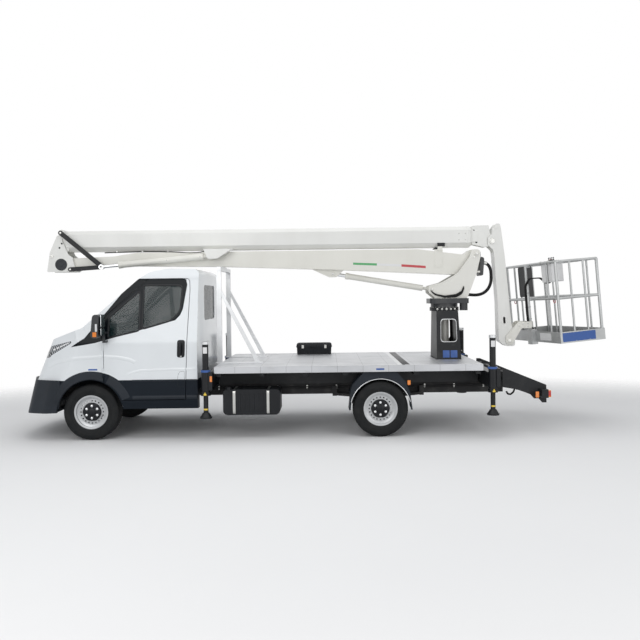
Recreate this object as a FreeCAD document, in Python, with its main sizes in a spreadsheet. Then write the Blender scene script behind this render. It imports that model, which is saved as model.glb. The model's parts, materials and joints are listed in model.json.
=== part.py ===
import FreeCAD, Part
import math
import os
import re
from FreeCAD import Placement, Rotation, Vector

# A truck-mounted cherry picker, stowed for the road. Lengths are millimetres.
# Distances along the truck are measured from the front axle, positive to the rear,
# y is negative on the driver's side, and z is measured from a level that lies "ride_up"
# above the road; only the wheels are placed from the road itself.
doc = FreeCAD.newDocument("cherry_picker_truck")
sheet = doc.addObject("Spreadsheet::Sheet", "Sizes")

SIZES = {
    # the frame that all places share: its origin is under the middle of the outer box
    "axle_to_origin": 2878,
    "seat_gap": 0.3,
    "panel_gap": 8,
    "ride_up": 50,
    # wheels
    "wheelbase": 3765,
    "hub_z": 313,
    "half_track": 847.5,
    "tyre_radius": 363,
    "tyre_width": 225,
    "bead_half": 86,
    "flank_radius": 300,
    "crown_half": 90,
    "rim_radius": 221,
    "rim_half": 95,
    "bead_radius": 205,
    "guard_radius": 388,
    "vent_depth": 70,
    "vent_circle": 146,
    "vent_size": 18,
    "vent_count": 20,
    "stub_radius": 30,
    "kingpin_y": 715,
    # ladder frame
    "rail_y": 430,
    "rail_low": 450,
    "rail_top": 595,
    "rail_flange": 60,
    "rail_wall": 7,
    "rail_front": -700,
    "rail_rear": 5480,
    "cross_tube": 42,
    # cab
    "cab_wall": 42,
    "cab_rear": 1400,
    "floor_thick": 40,
    "step_half": 945,
    "step_high": 780,
    "firewall": 20,
    "well_radius": 440,
    "arch_radius": 428,
    "well_inner": 500,
    "lip_inner": 962,
    "cab_half": 1000,
    "house_wall": 10,
    "hinge_x": 184,
    "hinge_y": 1006,
    "hinge_pin": 7,
    "hinge_radius": 13,
    "lid_x": -104,
    "lid_z": 1404,
    "lid_radius": 9,
    "lid_pin": 5,
    "glass_set": 9,
    "glass_thick": 6,
    # deck
    "deck_front": 1620,
    "deck_rear": 5085,
    "deck_half": 1030,
    "deck_top": 890,
    "deck_plate": 22,
    "deck_edge": 84,
    "edge_wall": 40,
    # frame for the lift, on the ladder frame
    "subframe_y": 430,
    "subframe_wide": 80,
    "subframe_top": 780,
    "subframe_front": 1600,
    "subframe_rear": 5130,
    "bearer_wide": 60,
    "bearer_half": 950,
    # stabilisers
    "front_jack": 1515,
    "rear_jack": 5200,
    "jack_y": 1050,
    "jack_radius": 55,
    "jack_low": 530,
    "jack_shoulder": 850,
    "front_head": 1220,
    "rear_head": 1262,
    "head_radius": 40,
    "leg_radius": 31,
    "leg_gap": 0.5,
    "foot_radius": 78,
    "foot_low": 238,
    # pedestal and turntable
    "slew_axis": 4760,
    "pedestal_top": 1560,
    "ring_radius": 205,
    "ring_high": 50,
    "turn_low": 1610.3,
    "turn_plate": 1665,
    "turn_top": 1735,
    # booms: pins as places in the side view
    "boom_pin_x": 5190,
    "boom_pin_z": 2362,
    "elbow_x": -660,
    "elbow_z": 2278,
    "upper_pin_x": -790,
    "upper_pin_z": 2395,
    "upper_low": 2458,
    "upper_high": 2752,
    "upper_front": -600,
    "upper_rear": 5120,
    "upper_half": 120,
    "boom_wall": 8,
    "slide_gap": 0.4,
    "mid_inset": 20,
    "inner_inset": 40,
    "jib_pin_x": 5430,
    "jib_pin_z": 2540,
    "level_pin_x": 5660,
    "level_pin_z": 1125,
    # basket, square in its own frame; its mast stands at the middle of its front
    "mast_x": 6010,
    "mast_z": 1098,
    "basket_long": 660,
    "basket_half": 720,
    "basket_high": 1100,
    "kick_high": 150,
    "basket_tube": 20,
    "basket_yaw": 12,
    "basket_lean": -4.5,
}

for row, (alias, value) in enumerate(SIZES.items(), start=1):
    sheet.set(f"A{row}", alias)
    sheet.set(f"B{row}", str(value))
    sheet.setAlias(f"B{row}", alias)
doc.recompute()

SIDES = {"left": -1, "right": 1}
TURNS = {
    "x": Rotation(Vector(0, 1, 0), 90),
    "y": Rotation(Vector(1, 0, 0), -90),
    "z": Rotation(),
}
sub_parts = []


def size(alias):
    """The number that the sheet holds under an alias."""
    return float(sheet.get(alias))


def cells(expression):
    """An expression with its aliases written as cells of the sheet."""
    return re.sub(
        r"[a-z][a-z0-9_]+",
        lambda word: "Sizes." + word.group() if word.group() in SIZES else word.group(),
        str(expression),
    )


def bind(item, expressions):
    """Ties properties to expressions over the sheet's aliases."""
    for name, expression in expressions.items():
        item.setExpression(name, cells(expression))
    return item


def sub_part(item, label):
    """Names an object as a finished piece and moves it from the axle to the origin."""
    item.Label = label
    bind(item, {"Placement.Base.x": "-axle_to_origin", "Placement.Base.z": "ride_up"})
    sub_parts.append(item)
    return item


def box(name, corner, lengths):
    """A box from its low corner and its three lengths, all as expressions."""
    item = doc.addObject("Part::Box", name)
    bind(item, dict(zip(("Length", "Width", "Height"), lengths)))
    return bind(item, {f"Placement.Base.{axis}": at for axis, at in zip("xyz", corner)})


def across(name, x, z, lengths, half):
    """A box that spans the truck from -half to half."""
    long, high = lengths
    return box(name, (x, f"-({half})", z), (long, f"2 * ({half})", high))


def rod(name, start, axis, radius, length):
    """A round bar from the middle of its low end, along x, y or z."""
    item = doc.addObject("Part::Cylinder", name)
    item.Placement = Placement(Vector(), TURNS[axis])
    bind(item, {"Radius": radius, "Height": length})
    return bind(item, {f"Placement.Base.{axis_}": at for axis_, at in zip("xyz", start)})


def fuse(name, items):
    item = doc.addObject("Part::MultiFuse", name)
    item.Shapes = items
    return item


def gather(name, items):
    """Pieces that don't touch, held as one object."""
    item = doc.addObject("Part::Compound", name)
    item.Links = items
    return item


def cut(name, base, tools):
    """A base with one or more tools taken out of it."""
    item = doc.addObject("Part::Cut", name)
    item.Base = base
    item.Tool = tools[0] if len(tools) == 1 else fuse(f"{name}_tools", tools)
    return item


def common(name, items):
    item = doc.addObject("Part::MultiCommon", name)
    item.Shapes = items
    return item


def corners(outline):
    """Each corner with the unit directions of the edges before and after it."""
    for index, corner in enumerate(outline):
        here = Vector(corner[0], corner[1], 0)
        last = outline[index - 1]
        following = outline[(index + 1) % len(outline)]
        before = here - Vector(last[0], last[1], 0)
        after = Vector(following[0], following[1], 0) - here
        radius = corner[2] if len(corner) > 2 else 0
        yield here, before, after, radius


def inset(outline, distance):
    """A counter-clockwise outline moved inwards, with its corner radii."""
    moved = []
    for here, before, after, radius in corners(outline):
        one = Vector(-before.y, before.x, 0) / before.Length
        two = Vector(-after.y, after.x, 0) / after.Length
        step = (one + two) * (distance / (1 + one.dot(two)))
        bend = math.copysign(distance, before.x * after.y - before.y * after.x)
        moved.append((here.x + step.x, here.y + step.y, max(radius - bend, 0) if radius else 0))
    return moved


def rounded(outline):
    """The edges of a closed outline whose corners may be (u, v, radius)."""
    reach_share = 0.48
    ends = []
    for here, before, after, radius in corners(outline):
        turn = before.getAngle(after)
        reach = radius * math.tan(turn / 2)
        reach = min(reach, reach_share * before.Length, reach_share * after.Length)
        start = here - before / before.Length * reach
        finish = here + after / after.Length * reach
        if reach > 0:
            middle = (start + finish) / 2
            bow = reach / math.tan(turn / 2) * (1 / math.cos(turn / 2) - 1)
            towards = here - middle
            ends.append((start, here - towards / towards.Length * bow, finish))
        else:
            ends.append((here, None, here))
    edges = []
    for (start, middle, finish), following in zip(ends, ends[1:] + ends[:1]):
        if middle is not None:
            edges.append(Part.Arc(start, middle, finish))
        if (following[0] - finish).Length > 0:
            edges.append(Part.LineSegment(finish, following[0]))
    return edges


def plane_of(body, role):
    return next(item for item in body.Origin.OriginFeatures if item.Role == role)


def sketch_in(body, name, role, edges, height="0"):
    """A sketch of the given edges at a height above one of its body's origin planes."""
    sketch = body.newObject("Sketcher::SketchObject", name)
    sketch.AttachmentSupport = [(plane_of(body, role), "")]
    sketch.MapMode = "FlatFace"
    bind(sketch, {"AttachmentOffset.Base.z": height})
    sketch.addGeometry(edges, False)
    return sketch


def prism(name, role, outlines, low, depth):
    """Closed outlines padded from a low face, along x, y or z by the plane's role."""
    body = doc.addObject("PartDesign::Body", name)
    edges = [edge for outline in outlines for edge in rounded(outline)]
    start = f"-(({low}) + ({depth}))" if role == "XZ_Plane" else low
    sketch = sketch_in(body, f"{name}_outline", role, edges, start)
    pad = body.newObject("PartDesign::Pad", f"{name}_pad")
    pad.Profile = sketch
    bind(pad, {"Length": depth})
    sketch.Visibility = False
    return body


def side_plate(name, outline, low, depth):
    """A flat piece seen from the side, between two places across the truck."""
    return prism(name, "XZ_Plane", [outline], low, depth)


def sideways(name, side, x, z, near, far, radius):
    """A round bar across the truck on one side, between two distances from its middle."""
    low = near if side > 0 else f"-({far})"
    return rod(name, (x, low, z), "y", radius, f"({far}) - ({near})")


def side_box(name, side, x, z, near, far, long, high):
    """A box on one side, between two distances from the truck's middle."""
    low = near if side > 0 else f"-({far})"
    return box(name, (x, low, z), (long, f"({far}) - ({near})", high))


def side_prism(name, side, outline, near, far):
    """A flat piece seen from the side, on one side of the truck."""
    low = near if side > 0 else f"-({far})"
    return prism(name, "XZ_Plane", [outline], low, f"({far}) - ({near})")


def pair(name, outline, near, far):
    """The same flat piece on both sides."""
    return [side_prism(f"{name}_{word}", side, outline, near, far) for word, side in SIDES.items()]


# wheels


def revolved(name, profile):
    """A profile of (place along the axle, radius) turned about the axle."""
    body = doc.addObject("PartDesign::Body", name)
    sketch = sketch_in(body, f"{name}_profile", "XY_Plane", rounded(profile))
    turn = body.newObject("PartDesign::Revolution", f"{name}_turn")
    turn.Profile = sketch
    turn.ReferenceAxis = (sketch, ["H_Axis"])
    return body


def on_axle(body, label, axle_x, side):
    """Stands a wheel piece on its axle, its outer face away from the truck."""
    body.Label = label
    body.Placement = Placement(Vector(), Rotation(Vector(0, 0, 1), 90 * side))
    place = {
        "Placement.Base.x": f"({axle_x}) - axle_to_origin",
        "Placement.Base.y": f"({side}) * half_track",
        "Placement.Base.z": "tyre_radius",
    }
    sub_parts.append(bind(body, place))
    return body


def tyre(label, axle_x, side):
    """A road tyre seated on the rim between its flanges."""
    outer = size("tyre_radius")
    seat = size("bead_radius") + size("seat_gap")
    right = [
        (size("bead_half"), seat),
        (size("tyre_width") / 2, size("flank_radius")),
        (size("crown_half"), outer),
    ]
    left = [(-corner[0], *corner[1:]) for corner in reversed(right)]
    return on_axle(revolved(f"{label}_form", right + left), label, axle_x, side)


def rim(label, axle_x, side):
    """A pressed steel wheel: barrel, dished disc with a ring of vents, and hub cap."""
    lip = size("rim_radius")
    half = size("rim_half")
    seat = size("bead_radius")
    bore = size("stub_radius") + size("seat_gap")
    profile = [
        (half, lip),
        (half - 2, lip),
        (half - 8, seat),
        (58, seat),
        (50, 182),
        (-50, 182),
        (-58, seat),
        (8 - half, seat),
        (2 - half, lip),
        (-half, lip),
        (-half, lip - 9),
        (3 - half, 198),
        (-62, 198),
        (-54, 175),
        (24, 175),
        (42, 166),
        (42, 128),
        (26, 104),
        (26, bore),
        (58, bore),
        (58, 0),
        (80, 0),
        (77, 48),
        (68, 60),
        (36, 62),
        (36, 98),
        (52, 124),
        (52, 170),
        (54, 175),
        (62, 198),
        (half - 3, 198),
        (half, lip - 9),
    ]
    body = revolved(f"{label}_form", profile)
    reach = size("vent_size") / 2
    middle = size("vent_circle")
    opening = [
        (middle - reach, -reach),
        (middle + reach, -reach),
        (middle + reach, reach),
        (middle - reach, reach),
    ]
    sketch = sketch_in(body, f"{label}_vent", "YZ_Plane", rounded(opening), "vent_depth")
    pocket = body.newObject("PartDesign::Pocket", f"{label}_vent_pocket")
    pocket.Profile = sketch
    bind(pocket, {"Length": "vent_depth"})
    pattern = body.newObject("PartDesign::PolarPattern", f"{label}_vents")
    pattern.Originals = [pocket]
    pattern.Axis = (plane_of(body, "X_Axis"), [""])
    pattern.Angle = 360
    bind(pattern, {"Occurrences": "vent_count"})
    body.Tip = pattern
    return on_axle(body, label, axle_x, side)


def hub_pieces(name, side, axle_x, low_y):
    """Brake disc, hub flange and stub axle that carry one wheel."""
    disc_near, disc_far, flange_far, stub_far = 757, 779, 873.2, 905
    return [
        sideways(f"{name}_disc", side, axle_x, "hub_z", disc_near, disc_far, 140),
        sideways(f"{name}_flange", side, axle_x, "hub_z", disc_far, flange_far, 75),
        sideways(f"{name}_stub", side, axle_x, "hub_z", low_y, stub_far, "stub_radius"),
    ]


def steering_knuckle(word, side):
    """The upright between the two arms, with the hub on it."""
    name = f"knuckle_{word}"
    low = 268.3
    upright = rod(f"{name}_upright", (0, f"({side}) * kingpin_y", low), "z", 28, 175)
    pieces = [upright] + hub_pieces(name, side, 0, "kingpin_y")
    return sub_part(fuse(f"{name}_form", pieces), name)


def axles():
    """Both axles: the front arms and the rear axle, each under its end of the frame."""
    return sub_part(gather("axles_form", [front_suspension(), rear_axle()]), "axles")


def front_suspension():
    """A cross member under the frame with a lower and an upper arm on each side."""
    pieces = [across("front_cross", -65, 380, (130, "rail_low - seat_gap - 380"), 480)]
    for word, side in SIDES.items():
        lower = [(260, 390), (260, 238, 20), (735, 238), (735, 268), (360, 268, 30), (360, 390)]
        upper = [(430, 390), (470, 390, 20), (670, 444), (735, 444), (735, 474), (660, 474), (470, 449), (430, 449)]
        for level, outline in (("lower", lower), ("upper", upper)):
            shape = [(side * u, v, *rest) for u, v, *rest in outline]
            pieces.append(prism(f"{level}_arm_{word}", "YZ_Plane", [shape], -38, 76))
    return fuse("front_suspension", pieces)


def rear_axle():
    """A live axle on leaf springs, with its differential and hubs."""
    axle = "wheelbase"
    pieces = [rod("axle_tube", (axle, -740, "hub_z"), "y", 45, 1480)]
    case = doc.addObject("Part::Sphere", "differential")
    bind(case, {"Radius": 135, "Placement.Base.x": axle, "Placement.Base.z": "hub_z"})
    pieces.append(case)
    centre = size("wheelbase")
    reach, sag, leaf, high = 620, 58, 36, 440
    spring = [
        (centre - reach, high),
        (centre, high - sag, 4000),
        (centre + reach, high),
        (centre + reach, high + leaf),
        (centre, high + leaf - sag, 4000),
        (centre - reach, high + leaf),
    ]
    for word, side in SIDES.items():
        pieces += hub_pieces(f"rear_hub_{word}", side, axle, 700)
        pieces.append(side_prism(f"spring_{word}", side, spring, 450, 520))
        pieces.append(side_box(f"spring_seat_{word}", side, "wheelbase - 60", 325, 440, 530, 120, 117))
        for end, x in (("front", "wheelbase - 620"), ("back", "wheelbase + 560")):
            hanger = side_box(f"hanger_{end}_{word}", side, x, 430, 437.3, 520, 60, 130)
            pieces.append(hanger)
    return fuse("rear_axle", pieces)


# frame


def frame_rails():
    """Two channel rails with cross tubes, and the hangers of the fuel tank."""
    low, high = size("rail_low"), size("rail_top")
    outer = size("rail_y") + size("rail_wall")
    inner = outer - size("rail_flange")
    wall = size("rail_wall")
    channel = [
        (inner, low),
        (outer, low),
        (outer, high),
        (inner, high),
        (inner, high - wall),
        (outer - wall, high - wall),
        (outer - wall, low + wall),
        (inner, low + wall),
    ]
    pieces = []
    for word, side in SIDES.items():
        shape = [(side * u, v) for u, v in channel]
        rail = prism(f"rail_{word}", "YZ_Plane", [shape], "rail_front", "rail_rear - rail_front")
        pieces.append(rail)
    middle = "(rail_low + rail_top) / 2"
    for index, x in enumerate((-650, 1450, 2420, 3300, 4300, 5400)):
        tube = rod(f"cross_tube_{index}", (x, "-rail_y", middle), "y", "cross_tube", "2 * rail_y")
        pieces.append(tube)
    for index, x in enumerate((1850, 2290)):
        pieces.append(side_box(f"tank_hanger_{index}", -1, x, 460, "rail_y", 599.7, 50, 60))
    return sub_part(fuse("frame_rails_form", pieces), "frame_rails")


def engine_block():
    """The engine as one plain block on the front cross member."""
    block = across("engine_form", -560, "rail_low", (505, 540), 255)
    return sub_part(fuse("engine_set", [block, across("engine_feet", -60, "rail_low", (50, 60), 340)]), "engine_block")


def fuel_tank():
    """A moulded tank on the driver's side with its filler cap."""
    outline = [(1720, 258, 60), (2460, 258, 60), (2460, 588, 50), (1720, 588, 50)]
    tank = side_prism("tank_form", -1, outline, 600, 960)
    cap = rod("tank_cap", (1790, -930, 580), "z", 38, 40)
    return sub_part(fuse("fuel_tank_form", [tank, cap]), "fuel_tank")


def rear_mudguards():
    """A flat-topped guard over each rear wheel, with a round arch in its cheek."""
    axle = size("wheelbase")
    front = [(-413, 305), (-384, 575), (-360, 640), (-213, 798)]
    back = [(213, 798), (325, 665), (384, 523), (413, 305)]
    outer = [(axle + u, v) for u, v in back[::-1] + front[::-1]]
    pieces = []
    for word, side in SIDES.items():
        form = side_prism(f"guard_{word}", side, outer, 705, 975)
        room = side_prism(f"guard_room_{word}", side, inset(outer, 8), 700, 967)
        below = side_box(f"guard_below_{word}", side, "wheelbase - 405", 290, 700, 967, 810, 30)
        arch = sideways(f"guard_arch_{word}", side, "wheelbase", "hub_z", 700, 980, "guard_radius")
        parts = [cut(f"guard_shell_{word}", form, [room, below, arch])]
        for end, x in (("front", "wheelbase - 389"), ("back", "wheelbase + 384")):
            parts.append(sideways(f"guard_stay_{end}_{word}", side, x, 505, 437.3, 720, 12))
        pieces.append(fuse(f"guard_set_{word}", parts))
    return sub_part(gather("rear_mudguards_form", pieces), "rear_mudguards")


def tail_frame():
    """Sloping plates behind the frame that carry the underrun beam."""
    outline = [
        (5385, 560),
        (5570, 528),
        (5700, 480),
        (5840, 425, 30),
        (5905, 352),
        (5960, 352),
        (5960, 585),
        (5440, 800, 20),
        (5385, 800),
    ]
    pieces = pair("tail_plate", outline, 800, 812) + pair("tail_inner", outline, 437.3, 449)
    pieces.append(across("underrun", 5860, 430, (85, 110), 950))
    pieces.append(across("tail_beam", 5390, 640, (60, 120), 812))
    return sub_part(fuse("tail_frame_form", pieces), "tail_frame")


def tail_lamps():
    """A lamp cluster at each end of the underrun beam."""
    return [
        side_box(f"tail_lamp_{word}", side, 5945.3, 440, 824, 944, 34, 90)
        for word, side in SIDES.items()
    ]


def subframe():
    """Rails on the ladder frame with bearers under the deck."""
    low = "rail_top + seat_gap"
    pieces = []
    for word, side in SIDES.items():
        near = "subframe_y - subframe_wide / 2"
        far = "subframe_y + subframe_wide / 2"
        rail = side_box(
            f"subframe_{word}", side, "subframe_front", low, near, far,
            "subframe_rear - subframe_front", f"subframe_top - ({low})",
        )
        pieces.append(rail)
    top = "deck_top - deck_plate - seat_gap"
    for index, x in enumerate((1640, 2200, 2760, 3280, 4200, 5005)):
        pieces.append(across(f"bearer_{index}", x, 755, ("bearer_wide", f"{top} - 755"), "bearer_half"))
    return sub_part(fuse("subframe_form", pieces), "subframe")


def deck():
    """A flat aluminium deck with deep edge rails, open round the pedestal."""
    long = "deck_rear - deck_front"
    plate = across("deck_plate_form", "deck_front", "deck_top - deck_plate", (long, "deck_plate"), "deck_half")
    pieces = [plate]
    for word, side in SIDES.items():
        edge = side_box(
            f"deck_edge_{word}", side, "deck_front", "deck_top - deck_edge",
            "deck_half - edge_wall", "deck_half", long, "deck_edge",
        )
        pieces.append(edge)
    for end, x in (("front", "deck_front"), ("rear", "deck_rear - 8")):
        pieces.append(across(f"deck_lip_{end}", x, "deck_top - deck_edge", (8, "deck_edge"), "deck_half"))
    hole = across("deck_hole", 4590, 700, (370, 400), 310)
    groove = across("deck_groove", 3990, "deck_top - 5", (60, 10), "deck_half - edge_wall")
    return sub_part(cut("deck_form", fuse("deck_solid", pieces), [hole, groove]), "deck")


def headboard():
    """The boom's rest: two braced posts with a cross tube."""
    foot = size("deck_top") + size("seat_gap")
    brace = [(2105, foot), (2165, foot), (1640, 1890), (1640, 1805)]
    pieces = []
    for word, side in SIDES.items():
        pieces.append(side_box(f"post_{word}", side, 1580, foot, 420, 480, 62, 2185 - foot))
        pieces.append(side_prism(f"brace_{word}", side, brace, 432, 468))
        pieces.append(side_box(f"post_foot_{word}", side, 1560, foot, 400, 500, 640, 12))
    pieces.append(across("rest_tube", 1580, 2155, (62, 50), 490))
    pieces.append(across("rest_pad", 1588, 2200, (46, 16), 150))
    return sub_part(fuse("headboard_form", pieces), "headboard")


def pad_case():
    """A flat ribbed case at the far edge of the deck."""
    outline = [(2595, 890.3, 12), (3155, 890.3, 12), (3155, 1066, 25), (2595, 1066, 25)]
    return sub_part(side_prism("pad_case_form", 1, outline, 805, 985), "pad_case")


# stabilisers


def jack_frame(end, x, head):
    """A cross beam with a hollow upright housing at each end for the jack legs."""
    beam = across(f"{end}_beam", f"{x} - 55", "rail_top + seat_gap", (110, 190), "jack_y - 30")
    pieces = [beam]
    bores = []
    for word, side in SIDES.items():
        y = f"({side}) * jack_y"
        name = f"{end}_{word}"
        pieces.append(rod(f"{name}_housing", (x, y, "jack_low"), "z", "jack_radius", "jack_shoulder - jack_low"))
        pieces.append(rod(f"{name}_collar", (x, y, "jack_shoulder - 22"), "z", "jack_radius + 6", 34))
        pieces.append(rod(f"{name}_clamp", (x, y, "jack_low"), "z", "jack_radius + 9", 46))
        pieces.append(rod(f"{name}_head", (x, y, "jack_shoulder"), "z", "head_radius", f"{head} - jack_shoulder"))
        pieces.append(rod(f"{name}_cap", (x, y, f"{head} - 34"), "z", "head_radius + 5", 34))
        pieces.append(side_box(f"{name}_bracket", side, f"{x} + 40", 600, "jack_y - 70", "jack_y + 45", 50, 236))
        depth = f"{head} - 50 - jack_low"
        bores.append(rod(f"{name}_bore", (x, y, "jack_low"), "z", "leg_radius + leg_gap", depth))
    return cut(f"{end}_frame_form", fuse(f"{end}_frame_solid", pieces), bores)


def jack_leg(end, x, head, word, side):
    """The sliding tube of one stabiliser with its round foot."""
    y = f"({side}) * jack_y"
    name = f"jack_leg_{end}_{word}"
    tube = rod(f"{name}_tube", (x, y, 300), "z", "leg_radius", f"{head} - 70 - 300")
    plate = rod(f"{name}_plate", (x, y, "foot_low"), "z", "foot_radius", 20)
    cone = doc.addObject("Part::Cone", f"{name}_cone")
    bind(cone, {"Radius1": "foot_radius - 6", "Radius2": 42, "Height": 50})
    bind(cone, {"Placement.Base.x": x, "Placement.Base.y": y, "Placement.Base.z": "foot_low + 20"})
    return sub_part(fuse(f"{name}_form", [tube, plate, cone]), name)


# cab


CAB_SIDE = [
    (-862, 735),
    (-380, 735),
    (-380, 355),
    (1400, 355),
    (1400, 2125, 70),
    (1330, 2172, 60),
    (960, 2180, 500),
    (740, 2135, 200),
    (598, 2030, 90),
    (-95, 1412),
    (-520, 1262, 300),
    (-700, 1150, 110),
    (-800, 1000, 120),
    (-855, 860, 60),
]
CAB_FRONT = [
    (-965, 355),
    (965, 355),
    (1000, 470, 60),
    (1000, 1215, 300),
    (822, 2060, 140),
    (690, 2182, 110),
    (-690, 2182, 110),
    (-822, 2060, 140),
    (-1000, 1215, 300),
    (-1000, 470, 60),
]
CAB_PLAN = [
    (3200, -1010),
    (3200, 1010),
    (-330, 1008, 350),
    (-723, 850, 150),
    (-815, 600, 300),
    (-905, 300, 300),
    (-905, -300, 300),
    (-815, -600, 300),
    (-723, -850, 150),
    (-330, -1008, 350),
]
DOOR = [
    (188, 470, 20),
    (1245, 470, 20),
    (1298, 1900, 400),
    (1288, 2045, 50),
    (735, 2045, 60),
    (188, 1558, 40),
]
MAIN_WINDOW = [(690, 1392, 20), (1040, 1492, 150), (1168, 1610, 120), (1196, 1950, 60), (690, 1955, 25)]
QUARTER_WINDOW = [(250, 1282, 25), (640, 1372, 20), (640, 1890, 25), (255, 1548, 60)]
BONNET = [(-905, 1120), (-600, 1120), (-112, 1290), (-112, 1520), (-905, 1520)]


def leaned(name, outline, distance, level, angle):
    """A plan outline given at a level and carried up along a line that leans rearwards."""
    slope = math.radians(angle)
    flat = [((x - level * math.tan(slope)) * math.cos(slope), y, *r) for x, y, *r in outline]
    body = prism(name, "XY_Plane", [inset(flat, distance)], -2000, 6000)
    body.Placement = Placement(Vector(), Rotation(Vector(0, 1, 0), angle))
    return body


def cab_layer(name, distance):
    """The closed outer form of the cab, moved inwards by a distance."""
    side_form = side_plate(f"{name}_side", inset(CAB_SIDE, distance), -1200, 2400)
    front_form = prism(f"{name}_front", "YZ_Plane", [inset(CAB_FRONT, distance)], -1200, 2800)
    plan_form = leaned(f"{name}_plan", CAB_PLAN, distance, 735, 22)
    return common(f"{name}_layer", [side_form, front_form, plan_form])


def wheel_wells():
    """The room that a steered front wheel needs, with a smaller arch in the skin."""
    pieces = []
    for word, side in SIDES.items():
        pieces.append(sideways(f"well_{word}", side, 0, "hub_z", "well_inner", "lip_inner", "well_radius"))
        pieces.append(sideways(f"arch_{word}", side, 0, "hub_z", "lip_inner - 5", 1200, "arch_radius"))
    return pieces


def wheel_houses(name, radius, gap):
    """Solid forms that cover the wheel wells from inside the cab."""
    near = f"well_inner - house_wall - {gap}"
    return [
        sideways(f"{name}_{word}", side, 0, "hub_z", near, "lip_inner", radius)
        for word, side in SIDES.items()
    ]


def hinge_barrel(name, side, low, high, radius):
    """An upright round bar on the hinge axis of a door."""
    y = f"({side}) * hinge_y"
    return rod(f"{name}_{low}_{side}", ("hinge_x", y, low), "z", radius, high - low)


def lid_barrel(name, side, near, far, radius):
    """A round bar across the truck on the bonnet's hinge axis."""
    return sideways(f"{name}_{near}_{side}", side, "lid_x", "lid_z", near, far, radius)


HINGES = (770, 1120)


def window_prisms(name, gap):
    """Through-going forms of the door windows, made smaller by a gap."""
    return [
        side_plate(f"{name}_main", inset(MAIN_WINDOW, gap), -1300, 2600),
        side_plate(f"{name}_quarter", inset(QUARTER_WINDOW, gap), -1300, 2600),
    ]


def end_windows(name, gap):
    """Through-going forms of the windscreen and of the rear window."""
    screen = inset([(-840, 1428, 60), (840, 1428, 60), (690, 2010, 70), (-690, 2010, 70)], gap)
    rear = inset([(-430, 1480, 60), (430, 1480, 60), (430, 1960, 60), (-430, 1960, 60)], gap)
    return [
        prism(f"{name}_screen", "YZ_Plane", [screen], -160, 900),
        prism(f"{name}_rear", "YZ_Plane", [rear], 1300, 200),
    ]


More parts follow.
